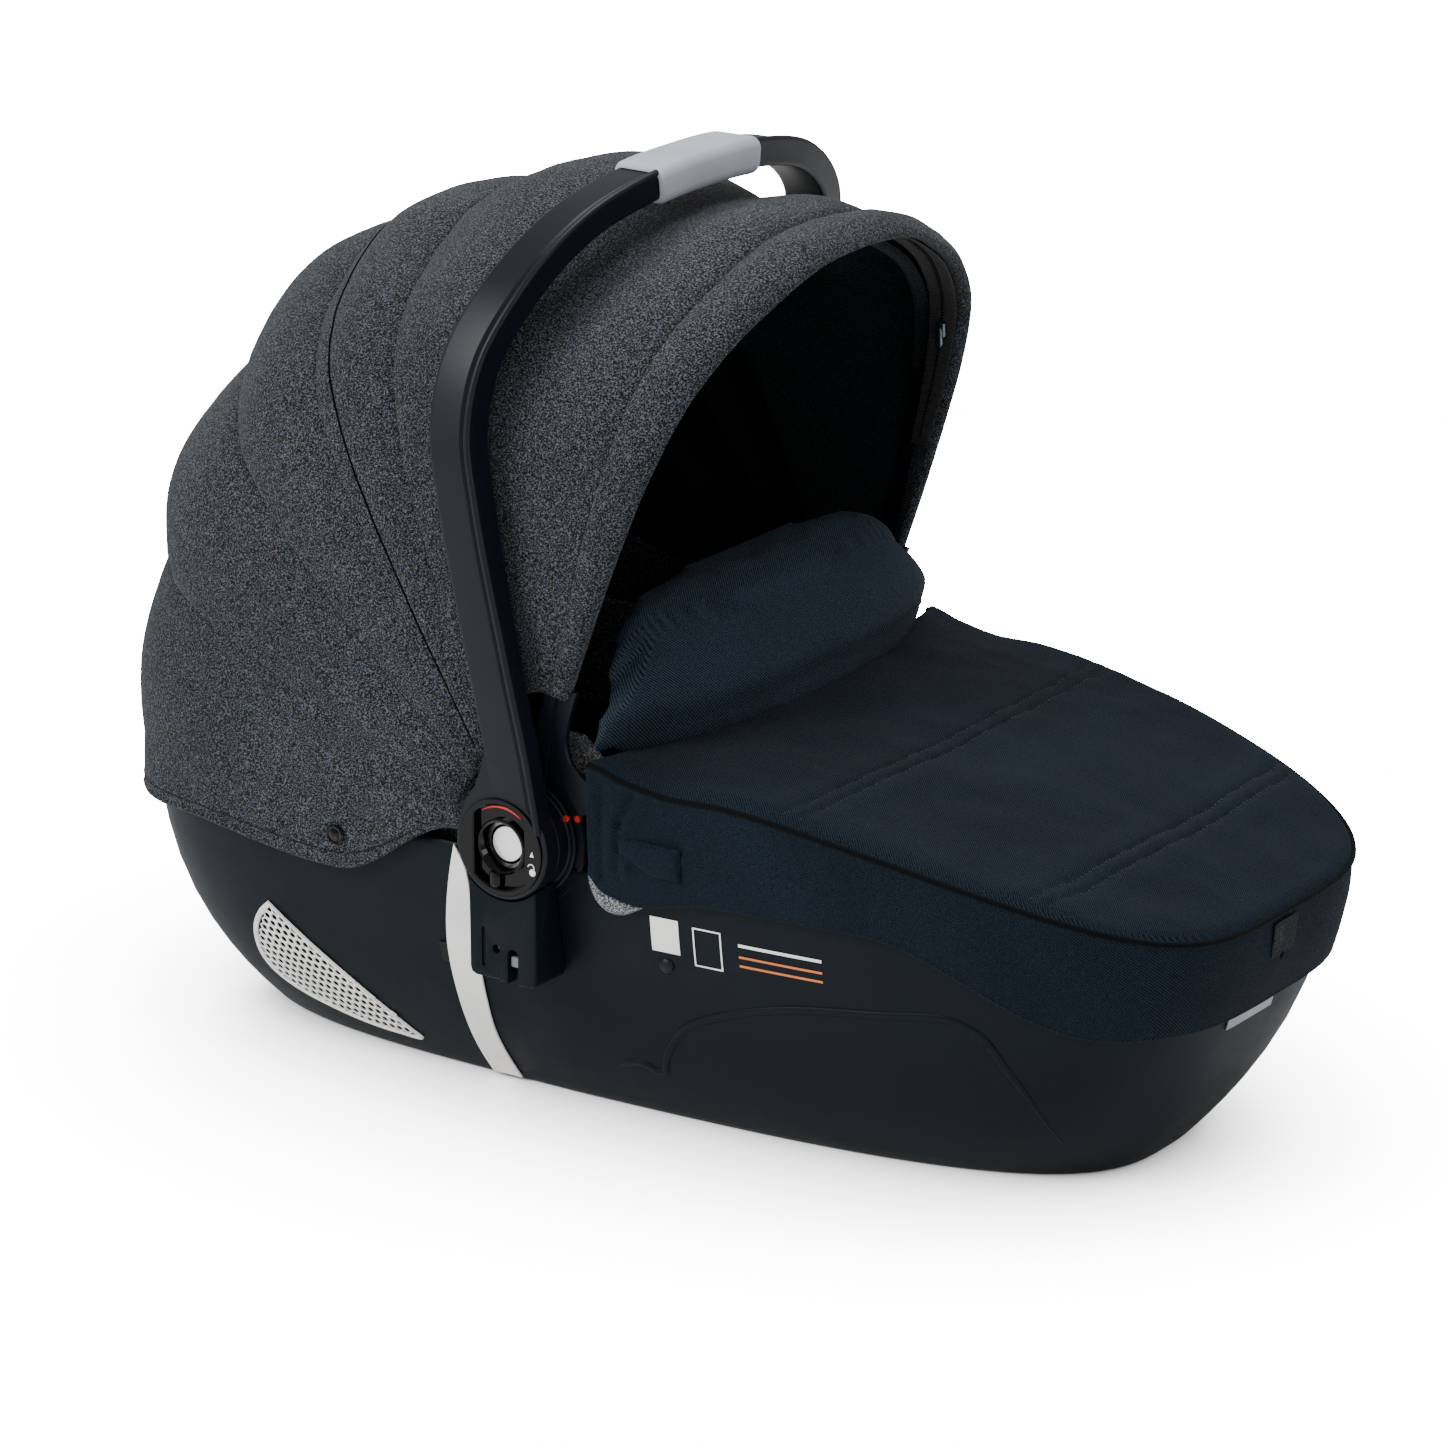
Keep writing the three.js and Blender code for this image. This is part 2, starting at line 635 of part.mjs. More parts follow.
// The rear panel runs down from its seam and on over the shell to its hem.
function makeRearPanel() {
  const turnShare = 0.5;
  const lastSeam = seams[5].angle - gap;
  add('hood_rear_panel', sheet((u, v, depth) => {
    const inward = depth * hood.cloth;
    if (v <= turnShare) {
      return hoodPoint(u, mix(lastSeam, hood.rearAngle, v / turnShare), inward);
    }
    const p = hoodPoint(u, hood.rearAngle, inward);
    const low = hemHeight(p.x);
    p.z = mix(hub.z, low, (v - turnShare) / (1 - turnShare));
    return p;
  }, 24, 6), knit());
}

function makeHood() {
  const bows = [['front', 357], ['second', 366], ['third', 374], ['fourth', 367]];
  bows.forEach(([name, radius], i) => {
    const [from, to] = [seams[i + 1].angle, seams[i + 2].angle];
    add(`hood_bow_${name}`, makeBow(bows.length - 1 - i, from, radius), handlePlastic());
    add(`hood_gore_${name}`, gore(from - 0.2, to + 0.2, i === 0 ? 6 : 4), knit());
  });
  add('hood_visor_band', gore(seams[0].angle, seams[1].angle + 0.2, 1), knit());
  makeRearPanel();
}

// A zip tape under the visor band, where a sun visor can be let down.
function makeZip() {
  const offset = 5;
  const tape = { thickness: 1.4, from: 18, to: 15.2 };
  const place = (u, v, depth) => hoodPoint(
    mix(0.08, 0.92, u), mix(tape.from, tape.to, v), offset + depth * tape.thickness);
  add('hood_zip_tape', sheet(place, 16, 1), webbing());
  const { x, y, z } = hoodPoint(0.8, 17, 2 * offset);
  add('hood_zip_slider', box([x - 3, y - 2, z - 14], [x + 3, y + 1, z]), steel());
}

// ---- Foot apron ----
function apronHeight(x, y) {
  const lengthways = Math.max(0, x / (apron.footX + 6)) ** 1.8;
  const crossways = Math.min(1, Math.abs(y) / 200) ** 2;
  return apron.height - apron.drop * lengthways + apron.crown * (1 - crossways);
}

function apronEdge(share, height, outset) {
  return tubOutline(mix(-1, 1, share) * apron.endTurn, height, -outset);
}

function makeApron() {
  const count = 28;
  const level = 200;
  const edge = steps(count).map((share) => apronEdge(share, level, apron.outset));
  const corner = edge[0].clone();
  const rear = steps(6).slice(1, -1).map((share) => {
    const y = mix(-corner.y, corner.y, share);
    return point(corner.x + 14 * (1 - (y / corner.y) ** 2), y, 0);
  });
  const outline = [...edge, ...rear].map((p) => point(p.x, p.y, 0));
  const underside = (x, y) => apronHeight(x, y) - apron.cloth;
  add('foot_apron_top', pad(outline, apronHeight, underside, 3), twill());

  const lowEdge = (x) => mix(skirt.lowSide, skirt.lowFoot, ease(x, skirt.fallStart, skirt.fallEnd));
  add('foot_apron_skirt', sheet((u, v, depth) => {
    const top = apronEdge(u, level, apron.outset);
    const z = mix(underside(top.x, top.y) - gap, lowEdge(top.x), v);
    return apronEdge(u, z, mix(apron.outset, 2, depth));
  }, count, 2), twill());
}

// The padded wind guard stands up from the rear edge of the apron.
function makeWindGuard() {
  add('wind_guard', sheet((u, v, depth) => {
    const y = mix(-guard.half, guard.half, u);
    const across = Math.abs(y / guard.half);
    const height = guard.rise * (1 - across ** 4.2) ** 0.5 + guard.minHeight;
    const lean = 22 - 8 * across ** 2 - 52 * v ** 1.6 * (height / guard.rise);
    const fullness = Math.sin(Math.PI * mix(0.12, 0.88, v)) * (1 - across ** 4);
    const swell = guard.thickness + guard.swell * fullness;
    return point(lean + mix(swell, -swell * 0.6, depth), y, guard.base + height * v);
  }, 14, 5), twill());
}

// ---- Trim on the shell ----
function patch(place, side, acrossCount, alongCount, thickness) {
  return sheet((u, v, depth) => {
    const [x, z] = place(u, v);
    return flank(x, z, side, mix(gap + thickness, gap, depth));
  }, acrossCount, alongCount);
}

function makeTrim(name, side) {
  const band = (u, v) => {
    const z = mix(172, 4, v);
    const leftEdge = -117 + 13 * ease(z, 70, 172);
    const width = mix(22, 9, ease(z, 60, 140)) * mix(0.25, 1, ease(z, 172, 150));
    return [leftEdge + width * u, z];
  };
  add(`trim_band_${name}`, patch(band, side, 2, 12, 1.4), whitePlastic());
  const vent = (u, v) => {
    const x = mix(-282, -160, u);
    const low = mix(42, 18, u ** 0.6);
    const high = mix(102, 22, u);
    return [x, mix(low, high, v)];
  };
  add(`vent_grille_${name}`, patch(vent, side, 10, 3, 1.6), whitePlastic());

  const rivet = flank(50, 124, side, 0);
  const rivetSpan = span(side, Math.abs(rivet.y) + 1.4, Math.abs(rivet.y) + 3);
  add(`shell_rivet_${name}`, disc(rivet.x, rivet.z, 4.5, ...rivetSpan, 12), shellPlastic());
  const studSpan = span(side, hood.halfWidthRear + 1.6, hood.halfWidthRear + 4);
  add(`hood_stud_${name}`, disc(-188, 169, 5, ...studSpan, 12), glossPlastic());
}

// A plain plate without any text, under the apron's edge at the foot end.
function makeLabelPlate() {
  const place = (u, v, depth) => (
    tubOutline(mix(-0.24, 0.09, u), mix(111, 99, v), mix(-1.2, -gap, depth)));
  add('blank_label_plate', sheet(place, 4, 1), steel());
}

makeTub();
makeFoamLiner();
makeLining();
makeSeat();
makeBackrest();
mirrorSides(makeHub);
makeHandle();
makeHood();
makeZip();
makeApron();
makeWindGuard();
mirrorSides(makeTrim);
makeLabelPlate();

export default group;
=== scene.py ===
"""Looks of a lie-flat infant car seat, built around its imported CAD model.

Shapes are laid out in millimetres from the floor, +Z up, with +X towards the child's feet and
+Y the child's left, and are turned into metres in the frame's place as each mesh is made.
"""

import math

import bmesh
import bpy
import numpy as np
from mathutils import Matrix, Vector, noise


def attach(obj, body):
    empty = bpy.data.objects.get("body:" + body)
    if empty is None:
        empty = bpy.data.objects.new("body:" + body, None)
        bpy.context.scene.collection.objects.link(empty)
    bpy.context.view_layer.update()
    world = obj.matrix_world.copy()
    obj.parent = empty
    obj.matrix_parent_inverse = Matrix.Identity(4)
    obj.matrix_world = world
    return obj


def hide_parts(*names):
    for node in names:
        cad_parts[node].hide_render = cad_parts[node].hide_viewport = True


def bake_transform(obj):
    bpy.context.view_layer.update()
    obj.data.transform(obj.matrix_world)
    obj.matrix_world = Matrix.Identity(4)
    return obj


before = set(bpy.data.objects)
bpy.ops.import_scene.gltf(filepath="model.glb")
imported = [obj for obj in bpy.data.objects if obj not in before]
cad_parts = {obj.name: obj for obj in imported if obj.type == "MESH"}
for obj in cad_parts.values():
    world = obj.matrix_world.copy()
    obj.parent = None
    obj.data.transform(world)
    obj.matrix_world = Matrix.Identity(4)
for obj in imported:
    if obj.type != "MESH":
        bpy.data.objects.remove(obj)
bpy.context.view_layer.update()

# ---- Driving dimensions, the same as the CAD model's ----
SHIFT = np.array([7.6, 0.0, 0.0])  # brings the middle of the whole length to x = 0
GAP = 0.4  # between pieces that touch
TUB_X = -50.0  # where the tub's head half meets its foot half
TUB_TO_FOOT = 427.0  # from there to the foot end, at the rim
HUB_X = -49.0
HUB_Z = 191.0
APRON_OUTSET = 8.0  # how far the apron's edge stands off the tub
APRON_END_TURN = 1.448  # radians from the foot end to the apron's rear corners
APRON_HALF = 190.0  # half the apron's width, which its seams and corners bow over
CLOTH = 2.2  # thickness of the hood's cloth
SIDES = (("right", -1.0), ("left", 1.0))

# The hood's seams: angle forward of upright, radius about the hub and bulge up to the next seam.
SEAMS = (
    (19, 380, 0),
    (13, 373, 19),
    (-22, 377, 12.5),
    (-34, 387, 20),
    (-48.5, 378, 20),
    (-69, 354, 3),
    (-90, 347, 0),
)
# Half a hoop of the hood, from crown to foot, as shares of its half width and its radius: for an
# upright hoop, and for one that lies level behind the head.
FRONT_ARCH = ((0, 1), (0.27, 0.986), (0.52, 0.935), (0.72, 0.87), (0.87, 0.78),
              (0.95, 0.66), (0.985, 0.53), (1, 0.36), (1, 0))
REAR_ARCH = ((0, 1), (0.3, 0.999), (0.55, 0.992), (0.74, 0.965), (0.88, 0.885),
             (0.955, 0.76), (0.99, 0.57), (1, 0.36), (1, 0))
# Each hood bow from the front: its name, angle forward of upright and radius about the hub.
BOWS = (("front", 13, 357), ("second", -22, 366), ("third", -34, 374), ("fourth", -48.5, 367))
TOPSTITCH = -31.2  # angle of the topstitching ahead of the third bow
REAR_FROM = -69  # angle at which the hood's fixed rear panel begins
VISOR_RISE = 5  # how far the visor stands above the cloth behind it

# Studio light: how strongly the surroundings light the object, and how bright they look.
WORLD_LIGHT = 0.6
BACKDROP_GLOW = 26.0
FLOOR_GLOW = 24.0
# Each lamp's name, place and width in metres, and power in watts.
LAMPS = (
    ("key", (-1.5, -2.6, 2.0), 1.2, 120),
    ("top", (0.1, 0.5, 2.8), 1.6, 75),
    ("front", (3.2, -1.2, 1.4), 1.2, 30),
)


# ---- Numbers ----
def mix(a, b, share):
    return a + (b - a) * share


def ease(value, start, end):
    share = np.clip((np.asarray(value, float) - start) / (end - start), 0, 1)
    return share * share * (3 - 2 * share)


def bump(value, centre, width):
    return np.exp(-(((np.asarray(value, float) - centre) / width) ** 2))


def stack(x, y, z):
    """Points from three arrays that broadcast together, coordinates last."""
    return np.stack(np.broadcast_arrays(x, y, z), axis=-1).astype(float)


def full_turn(count):
    """Evenly spaced angles once round, in radians."""
    return np.linspace(0, 2 * math.pi, count, endpoint=False)


def superellipse(turn, power):
    """Cosine and sine of a turn, and how far out to scale them to square off a circle."""
    c, s = np.cos(turn), np.sin(turn)
    return c, s, (np.abs(c) ** power + np.abs(s) ** power) ** (-1 / power)


def unit(vectors):
    length = np.linalg.norm(vectors, axis=-1, keepdims=True)
    return vectors / np.maximum(length, 1e-9)


def spline(points, shares):
    """A centripetal Catmull-Rom curve through points, at shares of its segment count."""
    p = np.asarray(points, float)
    p = np.vstack([2 * p[0] - p[1], p, 2 * p[-1] - p[-2]])
    shares = np.clip(np.asarray(shares, float), 0, 1)
    count = len(p) - 3
    where = shares * count
    i = np.minimum(where.astype(int), count - 1)
    t = (where - i)[..., None]
    p0, p1, p2, p3 = p[i], p[i + 1], p[i + 2], p[i + 3]
    spans = ((p0, p1), (p1, p2), (p2, p3))
    d0, d1, d2 = (np.linalg.norm(b - a, axis=-1, keepdims=True) ** 0.5 for a, b in spans)
    d1 = np.where(d1 < 1e-4, 1, d1)
    d0, d2 = np.where(d0 < 1e-4, d1, d0), np.where(d2 < 1e-4, d1, d2)
    t1 = ((p1 - p0) / d0 - (p2 - p0) / (d0 + d1) + (p2 - p1) / d1) * d1
    t2 = ((p2 - p1) / d1 - (p3 - p1) / (d1 + d2) + (p3 - p2) / d2) * d1
    c2 = -3 * p1 + 3 * p2 - 2 * t1 - t2
    c3 = 2 * p1 - 2 * p2 + t1 + t2
    return p1 + t1 * t + c2 * t**2 + c3 * t**3


def ripple(points, size, seed):
    """Smooth noise from -1 to 1 at each point, with features about size millimetres across."""
    flat = np.asarray(points, float).reshape(-1, 3) / size + seed
    values = [noise.noise(Vector(p)) for p in flat]
    return np.array(values).reshape(np.asarray(points).shape[:-1])


# ---- Meshes ----
def mesh(name, points, faces, material, crease=35):
    """A piece from points in millimetres. Faces all look outwards, and sharp corners stay sharp."""
    data = bpy.data.meshes.new(name)
    placed = (np.asarray(points, float).reshape(-1, 3) + SHIFT) * 0.001
    data.from_pydata(placed.tolist(), [], faces)
    work = bmesh.new()
    work.from_mesh(data)
    bmesh.ops.recalc_face_normals(work, faces=work.faces)
    work.to_mesh(data)
    work.free()
    data.shade_smooth()
    data.set_sharp_from_angle(angle=math.radians(crease))
    data.materials.append(material)
    piece = bpy.data.objects.new(name, data)
    bpy.context.scene.collection.objects.link(piece)
    return piece


def grid_faces(rows, columns, start=0, close_rows=False, close_columns=False):
    faces = []
    for j in range(rows if close_rows else rows - 1):
        for i in range(columns if close_columns else columns - 1):
            here, there = start + j * columns, start + ((j + 1) % rows) * columns
            after = (i + 1) % columns
            faces.append((here + i, here + after, there + after, there + i))
    return faces


def loft(name, rings, material, joined=False, crease=35):
    """A closed skin through rings of equal count, with flat ends or joined into a hoop."""
    rings = np.asarray(rings, float)
    rows, columns = rings.shape[:2]
    faces = grid_faces(rows, columns, 0, joined, True)
    if not joined:
        faces.append(tuple(range(columns))[::-1])
        faces.append(tuple((rows - 1) * columns + i for i in range(columns)))
    return mesh(name, rings, faces, material, crease)


def slab(name, outside, inside, material, crease=35, roll=0.45):
    """A sheet with thickness from two grids of points, its four edges rolled over."""
    middle = (outside + inside) / 2
    rows, columns = outside.shape[:2]
    thickness = np.linalg.norm(outside - inside, axis=-1, keepdims=True)
    push = np.zeros_like(middle)
    push[0] += unit(middle[0] - middle[1])
    push[-1] += unit(middle[-1] - middle[-2])
    push[:, 0] += unit(middle[:, 0] - middle[:, 1])
    push[:, -1] += unit(middle[:, -1] - middle[:, -2])
    edge = middle + unit(push) * thickness * roll
    loop = [(0, i) for i in range(columns)] + [(j, columns - 1) for j in range(1, rows)]
    loop += [(rows - 1, i) for i in range(columns - 2, -1, -1)]
    loop += [(j, 0) for j in range(rows - 2, 0, -1)]
    size = rows * columns
    points = np.vstack([outside.reshape(-1, 3), inside.reshape(-1, 3), [edge[at] for at in loop]])
    faces = grid_faces(rows, columns) + [f[::-1] for f in grid_faces(rows, columns, size)]
    for k, (j, i) in enumerate(loop):
        b = (k + 1) % len(loop)
        here, after = j * columns + i, loop[b][0] * columns + loop[b][1]
        faces.append((here, after, 2 * size + b, 2 * size + k))
        faces.append((2 * size + k, 2 * size + b, size + after, size + here))
    return mesh(name, points, faces, material, crease)


def tube_rings(path, radius, sides=8, flatness=1.0, up=None):
    """Rings around a path: radius is one number or one for each point."""
    path = np.asarray(path, float)
    tangent = unit(np.gradient(path, axis=0))
    normal = np.zeros_like(path)
    normal[0] = np.cross(tangent[0], [0, 0, 1] if abs(tangent[0][2]) < 0.9 else [1, 0, 0])
    for k in range(1, len(path)):
        normal[k] = normal[k - 1] - tangent[k] * np.dot(normal[k - 1], tangent[k])
        normal[k] = unit(normal[k])
    if up is not None:
        normal = unit(up - tangent * np.sum(up * tangent, axis=1, keepdims=True))
    normal = unit(normal)
    side = np.cross(tangent, normal)
    turn = full_turn(sides)
    radius = np.broadcast_to(radius, len(path))[:, None, None]
    around = normal[:, None] * np.cos(turn)[None, :, None] * flatness
    around = around + side[:, None] * np.sin(turn)[None, :, None]
    return path[:, None] + around * radius


def tube(name, path, radius, material, sides=8, joined=False, flatness=1.0, up=None):
    return loft(name, tube_rings(path, radius, sides, flatness, up), material, joined, 60)


def path_length(path):
    return np.concatenate([[0], np.cumsum(np.linalg.norm(np.diff(path, axis=0), axis=1))])


def at_length(path, lengths):
    run = path_length(path)
    return np.stack([np.interp(lengths, run, path[:, k]) for k in range(3)], axis=-1)


def stitches(name, path, material, stitch=3.0, spacing=4.4, radius=0.42):
    """A row of short raised threads along a path."""
    path = np.asarray(path, float)
    total = path_length(path)[-1]
    starts = np.arange(0.5, total - stitch, spacing)
    points, faces = [], []
    for start in starts:
        line = at_length(path, start + stitch * np.array([0, 0.2, 0.8, 1.0]))
        rings = tube_rings(line, np.array([0.25, 1, 1, 0.25]) * radius, 5)
        base = len(points)
        points.extend(rings.reshape(-1, 3))
        faces.extend(grid_faces(4, 5, base, False, True))
        faces.append(tuple(base + i for i in range(5))[::-1])
        faces.append(tuple(base + 15 + i for i in range(5)))
    return mesh(name, points, faces, material, 80)


def turned(name, profile, side, material, x=HUB_X, z=HUB_Z, count=72, crease=25):
    """A closed shape turned about an axis along Y, from (radius, distance from the middle) pairs."""
    turn = full_turn(count)
    rings = [stack(x + r * np.cos(turn), side * y, z + r * np.sin(turn)) for r, y in profile]
    return loft(name, rings, material, True, crease)


def solid_disc(name, radius, low, high, side, material, x=HUB_X, z=HUB_Z, round_edge=0.6):
    profile = [(0.05, low), (radius - round_edge, low), (radius, low + round_edge),
               (radius, high - round_edge), (radius - round_edge, high), (0.05, high)]
    return turned(name, profile, side, material, x, z)


def flat_shape(name, outline, low, high, side, material, bevel=0.8):
    """An (x, z) outline pushed along Y, with its outward edge bevelled."""
    outline = np.asarray(outline, float)
    middle = outline.mean(axis=0)
    inner = outline + unit(middle - outline) * bevel
    rings = [stack(o[:, 0], side * y, o[:, 1])
             for o, y in ((outline, low), (outline, high - bevel), (inner, high))]
    return loft(name, rings, material, False, 25)


def rounded(half_a, half_b, radius, count=5):
    """A rounded rectangle about the origin."""
    points = []
    for corner, (a, b) in enumerate(((1, 1), (-1, 1), (-1, -1), (1, -1))):
        for k in range(count):
            turn = (corner + k / (count - 1)) * math.pi / 2
            points.append((a * (half_a - radius) + radius * math.cos(turn),
                           b * (half_b - radius) + radius * math.sin(turn)))
    return np.array(points)


def level_rings(shape, steps, x=0.0, y=0.0):
    """Level rings of a shape about a point, from the size and height of each."""
    return [stack(x + shape[:, 0] * size, y + shape[:, 1] * size, z) for size, z in steps]


def joined(name, pieces):
    """Several meshes as one piece."""
    target = pieces[0]
    bpy.ops.object.select_all(action="DESELECT")
    for piece in pieces:
        piece.select_set(True)
    bpy.context.view_layer.objects.active = target
    bpy.ops.object.join()
    target.name = target.data.name = name
    return target


def modify(piece, kind, **settings):
    """Adds a modifier of a kind with its settings, and applies it to the mesh."""
    change = piece.modifiers.new(kind.lower(), kind)
    for name, value in settings.items():
        setattr(change, name, value)
    bpy.ops.object.select_all(action="DESELECT")
    bpy.context.view_layer.objects.active = piece
    piece.select_set(True)
    bpy.ops.object.modifier_apply(modifier=change.name)
    return piece


def cut(piece, cutters):
    """Takes the cutters out of a piece."""
    for cutter in cutters:
        modify(piece, "BOOLEAN", operation="DIFFERENCE", solver="EXACT", object=cutter)
        bpy.data.objects.remove(cutter)
    piece.data.shade_smooth()
    piece.data.set_sharp_from_angle(angle=math.radians(25))
    return piece


SWELL_FRAMES = 20
SEWN_MARGIN = 0.012  # metres above a sewn edge over which the filling starts to show


def swell(piece, voxel, pressure, cap, fixed_below=None):
    """Fills a closed pad by a cloth simulation, moving no point further than cap, in metres."""
    modify(piece, "REMESH", mode="VOXEL", voxel_size=voxel)
    rest = np.array([v.co for v in piece.data.vertices])
    cloth = piece.modifiers.new("fill", "CLOTH")
    cloth.settings.use_pressure = True
    cloth.settings.uniform_pressure_force = pressure
    cloth.settings.effector_weights.gravity = 0
    cloth.settings.quality = 5
    for number in range(1, SWELL_FRAMES + 1):
        bpy.context.scene.frame_set(number)
    graph = bpy.context.evaluated_depsgraph_get()
    filled = piece.evaluated_get(graph).data
    moved = np.array([v.co for v in filled.vertices]) - rest
    piece.modifiers.remove(cloth)
    bpy.context.scene.frame_set(1)
    length = np.linalg.norm(moved, axis=1, keepdims=True)
    moved *= np.minimum(1, cap / np.maximum(length, 1e-9))
    if fixed_below is not None:
        moved *= ease(rest[:, 2:3], fixed_below, fixed_below + SEWN_MARGIN)
    piece.data.vertices.foreach_set("co", (rest + moved).astype(np.float32).ravel())
    piece.data.update()
    modify(piece, "SUBSURF", levels=1, render_levels=1)
    piece.data.shade_smooth()
    return piece


def settle(piece, body, slot, *nodes):
    """Attaches a piece to its body and hides the CAD nodes that it stands for. The slot argument is not used.
    """
    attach(piece, body)
    if nodes:
        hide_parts(*nodes)
    return piece


# ---- Materials ----
class Finish:
    """A material under construction: short names for the few nodes used here."""

    def __init__(self, name, roughness, metallic=0.0):
        self.material = bpy.data.materials.new(name)
        self.material.use_nodes = True
        self.tree = self.material.node_tree
        self.shader = self.tree.nodes["Principled BSDF"]
        self.shader.inputs["Roughness"].default_value = roughness
        self.shader.inputs["Metallic"].default_value = metallic
        self.place = self.tree.nodes.new("ShaderNodeTexCoord").outputs["Object"]

    def link(self, output, socket):
        self.tree.links.new(output, socket)

    def stretched(self, scale, turn=(0, 0, 0)):
        node = self.tree.nodes.new("ShaderNodeMapping")
        node.inputs["Scale"].default_value = scale
        node.inputs["Rotation"].default_value = [math.radians(a) for a in turn]
        self.link(self.place, node.inputs["Vector"])
        return node.outputs["Vector"]

    def noise(self, scale, detail=2.0, roughness=0.5, place=None):
        node = self.tree.nodes.new("ShaderNodeTexNoise")
        node.inputs["Scale"].default_value = scale
        node.inputs["Detail"].default_value = detail
        node.inputs["Roughness"].default_value = roughness
        self.link(place or self.place, node.inputs["Vector"])
        return node.outputs["Fac"]

    def bands(self, scale, direction, place=None, distortion=0.0):
        node = self.tree.nodes.new("ShaderNodeTexWave")
        node.bands_direction = direction
        node.inputs["Scale"].default_value = scale
        node.inputs["Distortion"].default_value = distortion
        node.inputs["Detail"].default_value = 1.0
        self.link(place or self.place, node.inputs["Vector"])
        return node.outputs["Fac"]

    def cells(self, scale, place=None):
        node = self.tree.nodes.new("ShaderNodeTexVoronoi")
        node.inputs["Scale"].default_value = scale
        self.link(place or self.place, node.inputs["Vector"])
        return node.outputs

    def ramp(self, value, stops):
        node = self.tree.nodes.new("ShaderNodeValToRGB")
        elements = node.color_ramp.elements
        while len(elements) < len(stops):
            elements.new(0.5)
        for element, (position, colour) in zip(elements, stops):
            element.position = position
            element.color = (*colour, 1)
        self.link(value, node.inputs["Fac"])
        return node.outputs["Color"]

    def blend(self, a, b, mode="MULTIPLY", factor=1.0):
        node = self.tree.nodes.new("ShaderNodeMix")
        node.data_type = "RGBA"
        node.blend_type = mode
        node.inputs["Factor"].default_value = factor
        self.link(a, node.inputs["A"])
        self.link(b, node.inputs["B"])
        return node.outputs["Result"]

    def math(self, operation, a, b):
        node = self.tree.nodes.new("ShaderNodeMath")
        node.operation = operation
        for socket, value in zip(node.inputs, (a, b)):
            if isinstance(value, (int, float)):
                socket.default_value = value
            else:
                self.link(value, socket)
        return node.outputs["Value"]

    def step_above(self, value, edge):
        """0 below the edge and 1 above it, with a short ramp between."""
        node = self.tree.nodes.new("ShaderNodeMapRange")
        node.inputs["From Min"].default_value = edge - 0.04
        node.inputs["From Max"].default_value = edge + 0.04
        self.link(value, node.inputs["Value"])
        return node.outputs["Result"]

    def choose(self, share, a, b):
        node = self.tree.nodes.new("ShaderNodeMix")
        for name, value in (("Factor", share), ("A", a), ("B", b)):
            self.link(value, node.inputs[name])
        return node.outputs["Result"]

    def colour(self, output):
        self.link(output, self.shader.inputs["Base Color"])
        return self

    def relief(self, height, distance, strength=1.0):
        node = self.tree.nodes.new("ShaderNodeBump")
        node.inputs["Distance"].default_value = distance
        node.inputs["Strength"].default_value = strength
        self.link(height, node.inputs["Height"])
        self.link(node.outputs["Normal"], self.shader.inputs["Normal"])
        return self

    def rough(self, value, low, high):
        node = self.tree.nodes.new("ShaderNodeMapRange")
        node.inputs["To Min"].default_value = low
        node.inputs["To Max"].default_value = high
        self.link(value, node.inputs["Value"])
        self.link(node.outputs["Result"], self.shader.inputs["Roughness"])
        return self

    def set(self, **sockets):
        for name, value in sockets.items():
            title = name.replace("_", " ").title().replace("Ior", "IOR")
            self.shader.inputs[title].default_value = value
        return self


def grey(value, blue=1.0):
    """A grey with a cast towards blue."""
    return (value, value * mix(1, blue, 0.42), value * blue)


def melange(name, dark, middle, light, blue=1.08):
    """Heathered knit: pale, faintly warm and cool fibre specks in a dark ground."""
    f = Finish(name, 0.92)
    specks = f.noise(880, 2.0, 0.8, f.stretched((1, 1, 1.25)))
    stops = [(place, grey(value, blue)) for place, value in ((0.4, dark), (0.5, middle), (0.6, light))]
    ground = f.ramp(specks, stops)
    fibre = f.ramp(f.noise(700, 1.0), [(0.4, (1.16, 0.96, 0.78)), (0.6, (0.84, 1.0, 1.16))])
    shade = f.ramp(f.noise(9, 2.0), [(0.3, (0.78,) * 3), (0.7, (1, 1, 1))])
    f.colour(f.blend(f.blend(ground, fibre), shade))
    knit = f.cells(640)["Distance"]
    f.relief(f.math("ADD", knit, specks), 0.0008, 0.75)
    f.set(sheen_weight=0.06, sheen_roughness=0.5, specular_ior_level=0.08)
    return f.material


def wave_scale(period):
    """The wave texture's scale for diagonal bands that repeat once a period, in metres."""
    return 2 * math.pi / (10 * period)


def twill(name, dark, light, period, blue=1.25, depth=0.0004):
    """Diagonal weave that keeps its lines on whichever way a face looks."""
    f = Finish(name, 0.85)
    facing = f.tree.nodes.new("ShaderNodeSeparateXYZ")
    f.link(f.tree.nodes.new("ShaderNodeTexCoord").outputs["Normal"], facing.inputs["Vector"])
    flat, ahead = (f.step_above(f.math("ABSOLUTE", facing.outputs[axis], 0.0), 0.7) for axis in ("Z", "X"))
    scale = wave_scale(period)
    planes = ((1, 1, 0), (0, 1, 1), (1, 0, 1))
    top, end, side = (f.bands(scale, "DIAGONAL", f.stretched(plane), 0.5) for plane in planes)
    lines = f.choose(flat, f.choose(ahead, side, end), top)
    fibre = f.noise(1000, 2.0, 0.7)
    height = f.math("ADD", f.math("MULTIPLY", lines, 0.45), fibre)
    ground = f.ramp(height, [(0.52, grey(dark, blue)), (0.88, grey(light, blue))])
    shade = f.ramp(f.noise(11, 2.0), [(0.3, (0.75,) * 3), (0.7, (1, 1, 1))])
    f.colour(f.blend(ground, shade))
    f.relief(height, depth, 0.8)
    f.set(sheen_weight=0.02, sheen_roughness=0.45, specular_ior_level=0.06)
    return f.material


